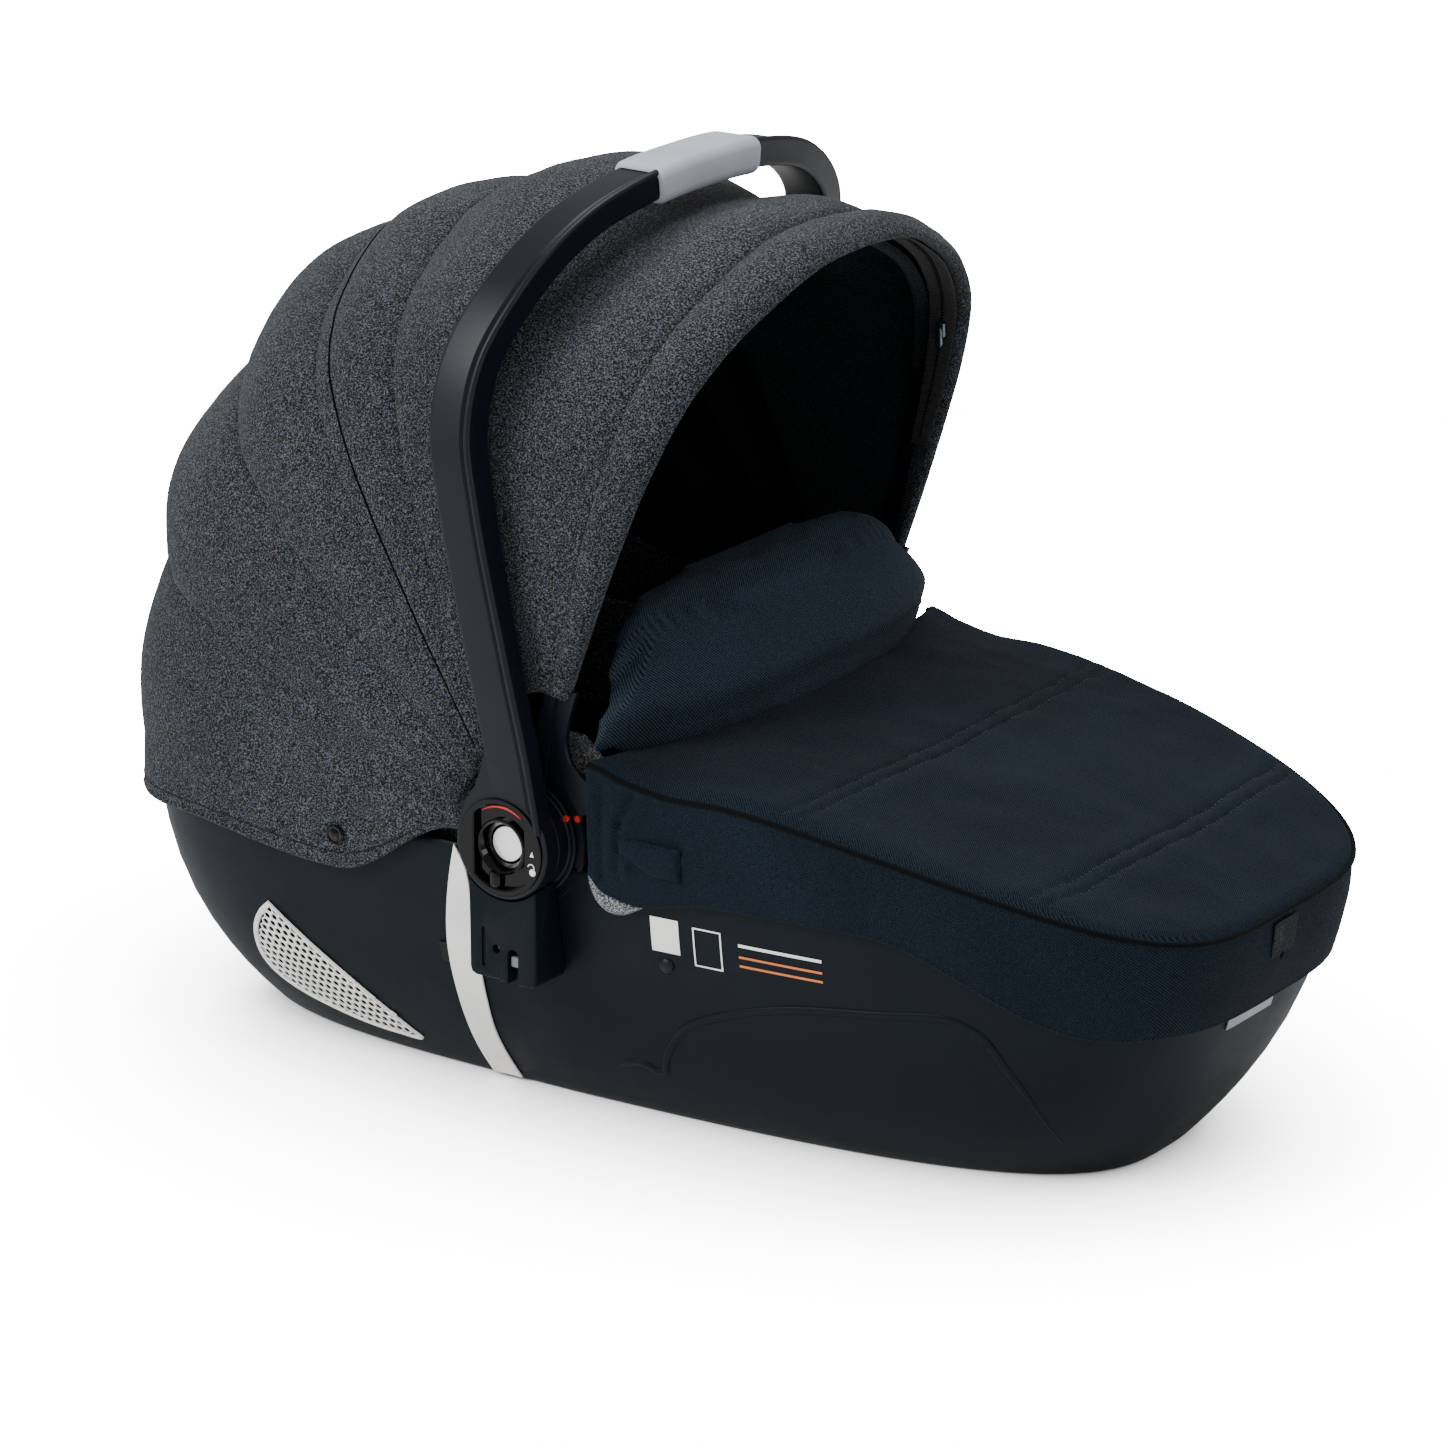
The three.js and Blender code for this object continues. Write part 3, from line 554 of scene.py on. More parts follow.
def plastic(name, colour, low, high, grain=1400, depth=0.00006, coat=0.0, specular=0.4):
    """Moulded plastic: fine spark texture, and a slow change of polish from place to place."""
    f = Finish(name, high)
    tint = f.ramp(f.noise(24, 3.0), [(0.3, [c * 0.86 for c in colour]), (0.7, colour)])
    f.colour(tint)
    f.rough(f.noise(35, 4.0, 0.6), low, high)
    f.relief(f.noise(grain, 2.0), depth, 0.5)
    f.set(coat_weight=coat, coat_roughness=0.06, specular_ior_level=specular)
    return f.material


def metal(name, colour, low, high):
    """Brushed metal: long fine scratches across it."""
    f = Finish(name, low, 1.0)
    scratches = f.noise(260, 3.0, 0.6, f.stretched((1, 1, 14)))
    f.colour(f.ramp(scratches, [(0.3, [c * 0.8 for c in colour]), (0.7, colour)]))
    f.rough(scratches, low, high)
    f.relief(scratches, 0.00005, 0.4)
    return f.material


def webbing(name, colour, period=0.0016):
    """Seat-belt webbing: close ribs along its length."""
    f = Finish(name, 0.7)
    ribs = f.bands(wave_scale(period), "Y", None, 0.2)
    rows = f.bands(wave_scale(period), "X", None, 0.4)
    height = f.math("ADD", ribs, f.math("MULTIPLY", rows, 0.6))
    f.colour(f.ramp(height, [(0.2, [c * 0.5 for c in colour]), (0.9, colour)]))
    f.relief(height, 0.0003, 0.8)
    f.set(sheen_weight=0.1, specular_ior_level=0.3)
    return f.material


KNIT = melange("hood_knit", 0.001, 0.0095, 0.09, 1.35)
# a darker copy of the hood knit for real seams, the visor's welt and the lining in the skirt's notch: painted
# shade along the seams and in the notch
SEAM_SHADE_KNIT = melange("seam_shade_knit", 0.001, 0.005, 0.03, 1.35)
LINING = melange("lining_knit", 0.03, 0.1, 0.34, 1.1)
INNER = melange("hood_lining", 0.0006, 0.0016, 0.008, 3.0)
TWILL = twill("apron_twill", 0.0005, 0.0098, 0.0019, 2.9)
GUARD = twill("guard_weave", 0.002, 0.027, 0.0022, 2.3, 0.0002)
BINDING = twill("binding", 0.0006, 0.0022, 0.0012, 2.4)
# near-black lines laid along real seams: painted shadow in the seam grooves
PAINTED_SEAM_SHADOW = plastic("seam_shadow", (0.0012, 0.0014, 0.0022), 0.8, 0.9, specular=0.02)
THREAD = webbing("thread", (0.003, 0.0036, 0.006), 0.0008)
STRAP = webbing("strap_webbing", (0.012, 0.012, 0.014))
SHELL = plastic("shell_plastic", (0.0018, 0.0052, 0.0078), 0.42, 0.56, specular=0.1)
HANDLE = plastic("handle_plastic", (0.0022, 0.0036, 0.0072), 0.38, 0.48, 1800, specular=0.2)
GLOSS = plastic("gloss_plastic", (0.0008, 0.0009, 0.0014), 0.05, 0.1, 900, 0.00001, 0.08, 0.16)
WHITE = plastic("white_plastic", (0.86, 0.85, 0.81), 0.36, 0.46)
GRIP = plastic("grip_rubber", (0.36, 0.385, 0.42), 0.5, 0.62, 1100, 0.00012, specular=0.2)
RED = plastic("red_plastic", (0.6, 0.02, 0.012), 0.3, 0.4)
SILVER = metal("satin_metal", (0.9, 0.9, 0.91), 0.3, 0.42)
STEEL = metal("steel", (0.5, 0.51, 0.53), 0.25, 0.38)
DARK_STEEL = metal("dark_steel", (0.16, 0.19, 0.21), 0.25, 0.38)
FOAM = melange("foam_beads", 0.006, 0.01, 0.02)
PALE = plastic("print_white", (0.84, 0.84, 0.82), 0.4, 0.5)
ORANGE = plastic("print_orange", (0.62, 0.16, 0.03), 0.4, 0.5)
LABEL_GREY = plastic("label_grey", (0.17, 0.2, 0.22), 0.3, 0.4)


# ---- Tub ----
FULL_WIDTH_HEIGHT = 232  # above this the tub's plan outline grows no more
REAR_RIM_HEIGHT = 176


def tub_outline(turn, height, inset):
    """The tub's plan outline: a superellipse that grows and squares off towards the rim."""
    turn, height = np.broadcast_arrays(np.asarray(turn, float), np.asarray(height, float))
    rise = 1 - (1 - np.clip(height / FULL_WIDTH_HEIGHT, 0, 1)) ** 2.9
    to_foot = np.cos(turn) >= 0
    length = np.where(to_foot, mix(350, TUB_TO_FOOT, rise), mix(296, 341, rise))
    power = np.where(to_foot, mix(3, 3.8, rise), mix(3.6, 5.6, rise))
    half = mix(127, 190, rise) - inset
    c, s, scale = superellipse(turn, power)
    x = (length - inset) * c * scale
    taper = np.where(to_foot, 1 - 0.09 * (x / length), 1)
    return stack(TUB_X + x, half * s * scale * taper, height)


def rim_height(x):
    to_foot = np.maximum(0, (x - TUB_X) / TUB_TO_FOOT)
    return mix(REAR_RIM_HEIGHT, 226 - 64 * to_foot**3.5, ease(x, 2, 44))


def tub_point(turn, share, inset):
    guess = tub_outline(turn, REAR_RIM_HEIGHT, inset)
    return tub_outline(turn, share * rim_height(guess[..., 0]), inset)


def flank(x, z, side, offset):
    """Points on the tub's side at given x and z, pushed out from it by an offset."""
    x, z, offset = np.broadcast_arrays(*(np.asarray(v, float) for v in (x, z, offset)))
    low, high = np.zeros(x.shape), np.full(x.shape, math.pi)
    for _ in range(40):
        turn = (low + high) / 2
        ahead = tub_outline(turn, z, 0)[..., 0] > x
        low, high = np.where(ahead, turn, low), np.where(ahead, high, turn)
    here = tub_outline(low, z, 0)
    around = tub_outline(low + 0.01, z, 0) - tub_outline(low - 0.01, z, 0)
    up = tub_outline(low, z + 2, 0) - tub_outline(low, z - 2, 0)
    normal = unit(np.cross(around, up))
    normal *= np.where(normal[..., 1:2] < 0, -1, 1)
    return (here + normal * offset[..., None]) * [1, side, 1]


def grid(across, along):
    """Two share grids, along down the rows and across over the columns."""
    return np.meshgrid(np.linspace(0, 1, across), np.linspace(0, 1, along))


def make_shell():
    """The tub's wall, outside from the floor to the rim and inside down to its floor."""
    turn = full_turn(200)
    outer = [tub_outline(turn, 0, 9), tub_outline(turn, 0, 3.5), tub_outline(turn, 1.2, 0.8)]
    levels = (0.02, 0.05, 0.1, 0.16, 0.24, 0.34, 0.46, 0.6, 0.74, 0.87, 0.97)
    outer += [tub_point(turn, share, 0) for share in levels]
    outer += [tub_point(turn, 0.992, 0.3), tub_point(turn, 1, 1.4)]
    inner = [tub_point(turn, 1, 2.6)]
    inner += [tub_point(turn, share, 4) for share in (0.98, 0.75, 0.5, 0.3, 0.16, 0.08)]
    inner += [tub_outline(turn, 4, 9)]
    settle(loft("shell", outer + inner, SHELL), "carrier", "shell_plastic", "base_shell")


def panel(low, high):
    """The place of an upright rectangle on the flank, from its lowest and highest x and z."""
    return lambda u, v: (mix(low[0], high[0], u), mix(low[1], high[1], v))


def make_shell_line(name, side):
    """A moulded line that sweeps over the flank to the foot, and a small socket by the band."""
    corners = [(-9, 35), (-1, 39), (8, 43), (17, 42.5), (24, 39), (29, 41), (33, 50), (40, 62), (56, 80),
               (82, 94), (130, 109), (196, 118), (240, 122), (258, 113), (268, 95), (278, 70), (284, 40),
               (286, 22)]
    shares = np.linspace(0, 1, 160)
    line = spline(corners, shares)
    width = 2.6 * np.minimum(1, shares * 12) * np.minimum(1, shares[::-1] * 6) + 0.3
    path = flank(line[:, 0], line[:, 1], side, -0.3)
    up = flank(line[:, 0], line[:, 1], side, 5) - path
    rib = loft(f"shell_line_{name}", tube_rings(path, width, 10, 0.42, up), SHELL, False, 60)
    settle(rib, "carrier", "shell_plastic")
    place = panel((-122, 91), (-115.5, 105))
    socket = sheet_on_flank(f"shell_socket_{name}", side, place, 5, 9, 0.9, GLOSS)
    settle(socket, "carrier", "shell_plastic")


def sheet_on_flank(name, side, place, across, along, thickness, material, lift=GAP):
    u, v = grid(across, along)
    x, z = place(u, v)
    return slab(name, flank(x, z, side, lift + thickness), flank(x, z, side, lift), material, 40, 0.2)


def make_band(name, side):
    """The off-white crescent that runs down from the hub and under the tub."""
    edges = ([(-102, 176), (-107, 155), (-112, 130), (-115.5, 105), (-117, 70), (-118, 30), (-117, 4)],
             [(-102, 176), (-94, 160), (-92, 130), (-92.5, 100), (-94.5, 70), (-97, 40), (-95, 4)])
    rear, front = (spline(edge, np.linspace(0, 1, 60)) for edge in edges)

    def place(u, v):
        return (mix(rear[:, None, k], front[:, None, k], u) for k in (0, 1))

    band = sheet_on_flank(f"white_band_{name}", side, place, 9, 60, 1.4, WHITE)
    settle(band, "carrier", "white_plastic", f"trim_band_{name}")


# The vent's outline, x and z.
VENT = ((-262, 102), (-272, 93), (-282, 78), (-286, 62), (-285, 50), (-278, 40), (-262, 31), (-236, 23.5),
        (-210, 18.6), (-186, 17), (-166, 17.5), (-172, 24), (-184, 36), (-206, 56), (-234, 79))


def inside(points, outline):
    """Which points lie inside a closed outline, both in the plane."""
    x, z = points[:, 0], points[:, 1]
    result = np.zeros(len(points), bool)
    for (ax, az), (bx, bz) in zip(outline, np.roll(outline, -1, axis=0)):
        crosses = (az > z) != (bz > z)
        reach = (bx - ax) * (z - az) / (bz - az if abs(bz - az) > 1e-9 else 1e-9) + ax
        result ^= crosses & (x < reach)
    return result


def honeycomb(middle, outline, pitch, hole):
    """Points and faces of a flat sheet of six-sided cells about a middle, each with a round hole."""
    points, faces = [], []
    turn = np.radians(np.arange(30, 390, 30))
    count = len(turn)
    around = np.stack([np.cos(turn), np.sin(turn)], axis=1)
    reach = np.where(np.arange(count) % 2 == 0, pitch / math.sqrt(3), pitch / 2)
    for row in range(-20, 21):
        for column in range(-20, 30):
            centre = middle + [(column + 0.5 * (row % 2)) * pitch, row * pitch * math.sqrt(3) / 2]
            if not inside(np.array([centre]), outline)[0]:
                continue
            base = len(points)
            points.extend(centre + around * reach[:, None])
            points.extend(centre + around * hole)
            for k in range(count):
                after = base + (k + 1) % count
                faces.append((base + k, after, after + count, base + k + count))
    return np.array(points), faces


def flank_rings(outer, inner, steps, side):
    """Rings on the flank between two outlines: how far along from the first, and the lift of each."""
    rings = []
    for share, lift in steps:
        edge = mix(outer, inner, share)
        rings.append(flank(edge[:, 0], edge[:, 1], side, lift))
    return rings


def make_vent(name, side):
    """A plate of six-sided holes in a raised frame, over a dark back."""
    outline = spline(np.vstack([VENT, VENT[:1]]), np.linspace(0, 1, 181))[:-1]
    middle = outline.mean(axis=0)
    inner = middle + (outline - middle) * 0.965 - unit(outline - middle) * 1.6
    flat, faces = honeycomb(middle, inner, 6.1, 2.25)
    plate = mesh(f"vent_plate_{name}", flank(flat[:, 0], flat[:, 1], side, 1.6), faces, WHITE, 50)
    work = bmesh.new()
    work.from_mesh(plate.data)
    bmesh.ops.remove_doubles(work, verts=work.verts, dist=0.00005)
    bmesh.ops.recalc_face_normals(work, faces=work.faces)
    if sum(face.normal.y * side for face in work.faces) < 0:
        bmesh.ops.reverse_faces(work, faces=work.faces)
    work.to_mesh(plate.data)
    work.free()
    modify(plate, "SOLIDIFY", thickness=0.0011)
    steps = ((0, GAP), (0, 1.7), (0.12, 2.2), (0.8, 2.2), (1, 1.7), (1, GAP))
    rim = loft(f"vent_frame_{name}", flank_rings(outline, inner, steps, side), WHITE, True, 40)
    steps = ((0.03, 0.15), (0.5, 0.15), (1, 0.15), (1, 0.45), (0.5, 0.45), (0.03, 0.45))
    rings = flank_rings(inner.mean(axis=0), inner, steps, side)
    dark = loft(f"vent_back_{name}", rings, BINDING, False, 50)
    grille = joined(f"vent_grille_{name}_visual", [plate, rim])
    settle(grille, "carrier", "white_plastic", f"vent_grille_{name}")
    settle(dark, "carrier", "shell_plastic")


def make_fixings(name, side):
    """The rivet on the flank and the snap stud on the hood's rear panel."""
    x, z = 50, 124
    low = abs(float(flank(x, z, side, 0)[1])) - 0.6
    rise = [(0.05, 0), (5.0, 0), (5.0, 1.2), (4.4, 2.0), (3.0, 2.7), (1.4, 3.1), (0.05, 3.2)]
    profile = [(radius, low + height) for radius, height in rise]
    rivet = turned(f"rivet_{name}", profile, side, HANDLE, x, z, 32)
    settle(rivet, "carrier", "shell_plastic", f"shell_rivet_{name}")
    low = 198.6
    rise = [(0.05, 0), (6.3, 0), (6.6, 0.9), (5.6, 2.2), (4.2, 1.7), (2.6, 2.4), (0.05, 2.6)]
    profile = [(radius, low + height) for radius, height in rise]
    stud = turned(f"stud_{name}", profile, side, GLOSS, -188, 168, 36)
    settle(stud, "carrier", "gloss_plastic", f"hood_stud_{name}")


INK = 0.12  # thickness of a printed mark
# Printed marks on the flank: colour, slot, material, and the lowest and highest x and z of each.
PRINTS = (
    ("pale", "white_plastic", PALE, (
        ((41, 133), (61, 156)), ((71, 128), (91, 129)), ((71, 153), (91, 154)), ((71, 128), (72, 154)),
        ((90, 128), (91, 154)), ((103, 147), (160, 149)))),
    ("orange", "red_plastic", ORANGE, (((103, 139.5), (160, 141)), ((103, 133.5), (160, 135)))),
)


def make_prints():
    """Plain printed panels where the real one carries its markings, with nothing written on them."""
    for name, side in SIDES:
        for colour, slot, material, panels in PRINTS:
            title = f"print_{colour}_{name}"
            pieces = [sheet_on_flank(title, side, panel(low, high), 24, 8, INK, material, INK)
                      for low, high in panels]
            settle(joined(title, pieces), "carrier", slot)


def make_label():
    """The blank plate at the foot end."""
    u, v = grid(13, 5)
    turn = mix(-0.25, 0.07, u)
    z = mix(121, 105.5, v)
    label = slab("label_plate", tub_outline(turn, z, -1.2), tub_outline(turn, z, -0.3), LABEL_GREY, 40, 0.2)
    settle(label, "carrier", "steel", "blank_label_plate")


# ---- Inside the tub ----
def make_liner():
    """The bead foam tub, its wall rounded off at the top."""
    turn = full_turn(120)
    top = 150
    heights = [8, 12, 20, 34, 56, 95, 146, top]
    rings = [tub_outline(turn, z, 11 if z == top else 10) for z in heights]
    rings += [tub_outline(turn, max(z, 20), 21 if z == top else 22) for z in heights[:0:-1]]
    settle(loft("foam_tub", rings, FOAM), "carrier", "foam", "foam_liner")


def make_lining():
    """Grey jersey band that stands above the foam, with a rolled top edge."""
    turn = full_turn(240)
    low, outside, inside_face = 150.4, 19, 26
    x = tub_outline(turn, low, outside)[:, 0]
    top = mix(222, 160, ease(x, 20, 330)) + 36 * bump(x, -24, 26)
    rolled = [(0.9, outside), (0.98, 19.8), (1, 22.5), (0.98, 25.2), (0.9, inside_face)]
    section = [(0, outside), (0.3, outside), (0.6, outside)] + rolled + [(0.5, inside_face), (0, inside_face)]
    rings = []
    for share, inset in section:
        z = mix(low, top, share)
        wave = 0.7 * ripple(stack(x, turn * 100, z), 26, 3)
        rings.append(tub_outline(turn, z, inset + wave))
    settle(loft("jersey_lining", rings, LINING, True), "carrier", "grey_lining", "fabric_lining")


# A cushion's section from the middle of its underside to the middle of its top, as shares of its
# half width and of its height.
PILLOW = ((0.03, 0), (0.5, 0), (0.85, 0), (0.96, 0.06), (1, 0.3), (1, 0.6), (0.965, 0.85), (0.9, 0.96),
          (0.75, 1), (0.5, 1), (0.25, 1), (0.03, 1))


def pillow_rings(from_x, to_x, half, low, high, power, crown=0.0):
    """Rings of a cushion lying flat: straight sides that roll over to a gently crowned top."""
    c, s, scale = superellipse(full_turn(72), power)
    middle, length = (from_x + to_x) / 2, (to_x - from_x) / 2
    rings = []
    for size, height in PILLOW:
        z = mix(low, high, height) + (crown * (1 - size**2) if height == 1 else 0)
        rings.append(stack(middle + length * c * scale * size, half * s * scale * size, z))
    return np.array(rings)


def make_pads():
    """The cushions, and the webbing that lies on them."""
    seat = loft("seat_cushion", pillow_rings(-24, 274, 95, 22, 78, 3), LINING)
    settle(swell(seat, 0.006, 3, 0.004), "carrier", "grey_lining", "seat_pad")
    rings = pillow_rings(-320, -44, 118, 59, 84, 4)
    slope = np.minimum(84, 60 + (-42 - rings[..., 0]) * 1.2)
    rings[..., 2] = np.minimum(rings[..., 2], slope)
    back = loft("back_cushion", rings, LINING)
    settle(swell(back, 0.006, 3, 0.003), "backrest", "grey_lining", "back_pad")
    head = loft("head_cushion", pillow_rings(-298, -228, 76, 88, 98, 3, crown=9), LINING)
    settle(swell(head, 0.005, 4, 0.004), "backrest", "grey_lining", "head_pillow")
    for name, side in SIDES:
        u, v = grid(9, 30)
        x, y = mix(-216, -80, v), side * mix(31, 61, u)
        z = 88.4 + 0.5 * np.sin(v * 9)
        strap = slab(f"harness_strap_{name}", stack(x, y, z + 1), stack(x, y, z - 1), STRAP)
        settle(strap, "backrest", "webbing", f"shoulder_strap_{name}")
    u, v = grid(9, 24)
    x, y = mix(27, 119, v), mix(-13, 13, u)
    strap = slab("crotch_webbing", stack(x, y, 82.5), stack(x, y, 80.6), STRAP)
    settle(strap, "carrier", "webbing", "crotch_strap")


# ---- Hub ----
# Middles of the block's features, x and z.
SLOT = (-42, 108)
GROOVE = (-64, 123)
SCREW = (-54.5, 123)
HUB_BORE = 30.6  # radius cleared for the hub's glossy face


def make_block(name, side):
    """The plate behind the handle's hub, and the block under it that a pushchair frame takes."""
    profile = [(7, 180), (43.4, 180), (44, 181), (44, 185.8), (43.2, 186.8), (41.2, 186.8), (40.8, 185.4),
               (38, 185.4), (37.4, 187.6), (36.6, 188.4), (34.4, 188.4), (33.6, 189.4), (33.2, 198.4),
               (32.2, 199.2), (7, 199.2)]
    plate = turned(f"hub_plate_{name}", profile, side, HANDLE, crease=20)
    marks = []
    for angle, radius, out in ((25, 42.4, 187.4), (29, 35.6, 189)):
        x = HUB_X + radius * math.cos(math.radians(angle))
        z = HUB_Z + radius * math.sin(math.radians(angle))
        marks.append(solid_disc(f"plate_mark_{name}", 2.1, out - 3, out, side, RED, x, z, 0.4))
    settle(joined(f"plate_marks_{name}", marks), "carrier", "red_plastic")
    body = block_body(name, side)
    socket = 2.9 * np.array([(math.cos(a), math.sin(a)) for a in full_turn(24)])
    openings = ((rounded(4, 17, 3.9, 6) + SLOT, 204), (rounded(1.5, 13, 1.4, 5) + GROOVE, 210.6),
                (socket + SCREW, 206))
    cutters = [flat_shape("cutter", opening, floor, 216, side, HANDLE, 0.01) for opening, floor in openings]
    room = solid_disc("cutter", 35.6, 199.8, 216, side, HANDLE)
    body = cut(body, cutters + [room])
    modify(body, "BEVEL", width=0.0006, segments=2, limit_method="ANGLE")
    body.data.set_sharp_from_angle(angle=math.radians(30))
    settle(joined(f"block_{name}", [body, plate]), "carrier", "handle_plastic", f"adaptor_block_{name}")
    profile = [(0.05, 206.2), (2.6, 206.2), (2.6, 207.6), (1.5, 207.9), (1.2, 207.2), (0.05, 207.1)]
    settle(turned(f"block_screw_{name}", profile, side, STEEL, *SCREW, 24), "carrier", "steel")
    outline = rounded(3.5, 3.8, 1.2) + [SLOT[0], SLOT[1] + 8.2]
    tongue = flat_shape(f"latch_{name}", outline, 204.6, 209.8, side, DARK_STEEL, 0.8)
    settle(tongue, f"latch_{name}", "steel", f"latch_catch_{name}")


def block_body(name, side):
    """The block before its openings are cut, its back leaning with the tub's wall."""
    outline = np.array([(-75, 166), (-75, 108), (-74, 104.5), (-70.5, 103), (-53, 103), (-52, 102),
                        (-29, 102), (-26, 103.4), (-25, 106.5), (-25, 166)])
    back = np.interp(outline[:, 1], [102, 125, 140, 166], [180.2, 185.2, 187.6, 191])
    middle = outline.mean(axis=0)
    inner = outline + unit(middle - outline) * 1.2
    rings = [stack(outline[:, 0], side * back, outline[:, 1]),
             stack(outline[:, 0], side * 210.8, outline[:, 1]),
             stack(inner[:, 0], side * 212, inner[:, 1])]
    return loft(f"block_{name}", rings, SHELL, False, 25)


def make_face(name, side):
    """The hub's glossy face: a D-shaped well, a bowl in it, and the silver disc at the bowl's bottom."""
    turn = full_turn(120)
    c, s = np.cos(turn), np.sin(turn)
    reach = np.minimum(27.2, np.where(c > 0, 18.3, 19.4) / np.maximum(np.abs(c), 1e-6))
    well = np.stack([reach * c, reach * s], axis=1)
    rim = np.stack([31.2 * c, 31.2 * s], axis=1)
    bowl = np.stack([c, s], axis=1)

    def ring(flat, y):
        return stack(HUB_X + flat[:, 0], side * y, HUB_Z + flat[:, 1])

    lip = [(17.9, 210.6), (17.9, 213.0), (17.0, 213.8), (15.6, 213.4), (13.8, 210.8), (12.6, 208.0),
           (12.0, 206.4), (12.0, 203.8)]
    shape = [ring(rim, 212.9), ring(rim, 214.8), ring(rim * 0.985, 215.3),
             ring(well + unit(well) * 0.9, 215.3), ring(well, 214.5), ring(well, 210.6)]
    shape += [ring(bowl * radius, y) for radius, y in lip]
    shape += [ring(rim * 0.9, 203.8), ring(rim * 0.9, 212.9)]
    pieces = [loft(f"hub_face_{name}", shape, GLOSS, True, 22)]
    drop = np.linspace(-17, -28.4, 10)
    width = [3.6, 4.0, 4.2, 4.3, 4.3, 4.3, 4.3, 4.2, 3.4, 1.4]
    path = stack(HUB_X - 5, side * 212.6, HUB_Z + drop)
    pieces.append(tube("tab", path, width, GLOSS, 16, False, 0.62, [0, side, 0]))
    settle(joined(f"hub_face_{name}", pieces), "handle", "gloss_plastic", f"hub_cap_{name}")
    arc = np.radians(np.linspace(126, 52, 40))
    path = stack(HUB_X - 1 + 24.2 * np.cos(arc), side * 211.6, HUB_Z + 1.2 + 24.2 * np.sin(arc))
    thickness = 0.3 + 0.75 * np.sin(np.linspace(0, math.pi, 40)) ** 0.6
    lock_arc = tube(f"lock_arc_{name}", path, thickness, RED, 8)
    settle(lock_arc, "handle", "red_plastic", f"lock_indicator_{name}")
    make_lock_mark(name, side)
    profile = [(0.05, 205.3), (11.0, 205.3), (11.4, 205.6), (11.4, 206.0), (11.0, 206.4), (6, 206.6),
               (0.05, 206.6)]
    disc = turned(f"button_disc_{name}", profile, side, SILVER)
    settle(disc, f"button_{name}", "steel", f"release_button_{name}")


def make_lock_mark(name, side):
    """A plain arrowhead over a plain open lock."""
    middle = np.array([HUB_X + 24.6, HUB_Z])
    arrow = np.array([(-1.5, -1.2), (1.5, -1.2), (0.2, 2.2)]) + middle
    pieces = [flat_shape("arrow", arrow, 215.2, 215.6, side, PALE, 0.1)]
    x, z = middle + [0.4, -11.2]
    pieces.append(solid_disc("lock_body", 2.3, 215.1, 215.6, side, PALE, x, z, 0.1))
    arc = np.radians(np.linspace(-20, 170, 16))
    shackle = stack(middle[0] - 0.6 + 2.2 * np.cos(arc), side * 215.4, middle[1] - 8.2 + 2.2 * np.sin(arc))
    pieces.append(tube("lock_shackle", shackle, 0.4, PALE, 6))
    settle(joined(f"hub_mark_{name}", pieces), "handle", "white_plastic")


# ---- Carry handle ----
# Stations from the left hub to the crown: the bar's middle, its depth and its thickness.
HANDLE_HALF = (
    ((-33.5, 206.6, 194), 33, 13.2), ((-43.5, 206.8, 245), 34, 13.6), ((-57, 206.6, 305), 33, 15),
    ((-79, 203, 400), 32, 19), ((-88, 198, 447), 32, 20), ((-85, 186, 490), 32, 20),
    ((-71, 162, 530), 32, 18), ((-61, 120, 559), 32, 17), ((-56, 60, 573), 32, 17), ((-55, 0, 576), 32, 17),
)
GRIP_SHARES = (0.45, 0.55)  # where the grip starts and ends along the handle


def handle_stations(shares):
    """Centre, tangent and section size of the handle at shares of its length."""
    whole = list(HANDLE_HALF) + [((x, -y, z), d, t) for (x, y, z), d, t in HANDLE_HALF[-2::-1]]
    path = spline([p for p, _, _ in whole], shares)
    ahead = spline([p for p, _, _ in whole], np.minimum(shares + 1e-4, 1))
    before = spline([p for p, _, _ in whole], np.maximum(shares - 1e-4, 0))
    return path, unit(ahead - before), spline([(d, t, 0) for _, d, t in whole], shares)


def handle_section(depth, thickness):
    """The bar's section: a flat outer face with a raised bead along its front edge."""
    outline = rounded(depth / 2, thickness / 2, 3.2, 6)
    turn = np.radians(np.linspace(-30, 200, 11))
    bead = np.stack([depth / 2 - 2.5 + 2.5 * np.cos(turn), thickness / 2 - 0.2 + 2.6 * np.sin(turn)], axis=1)
    groove = [(depth / 2 - 5.6, thickness / 2 - 1.6), (depth / 2 - 8.5, thickness / 2)]
    return np.vstack([bead, groove, outline[6:]])


def handle_rings(shares, section):
    """Sections set square to the handle's run; section takes the ring's number, depth and thickness."""
    centre, tangent, size = handle_stations(shares)
    wide = unit(np.array([1, 0, 0]) - tangent * tangent[:, :1])
    thick = np.cross(tangent, wide)
    rings = []
    for k in range(len(shares)):
        outline = section(k, size[k, 0], size[k, 1])
        rings.append(centre[k] + outline[:, :1] * wide[k] + outline[:, 1:] * thick[k])
    return np.array(rings)


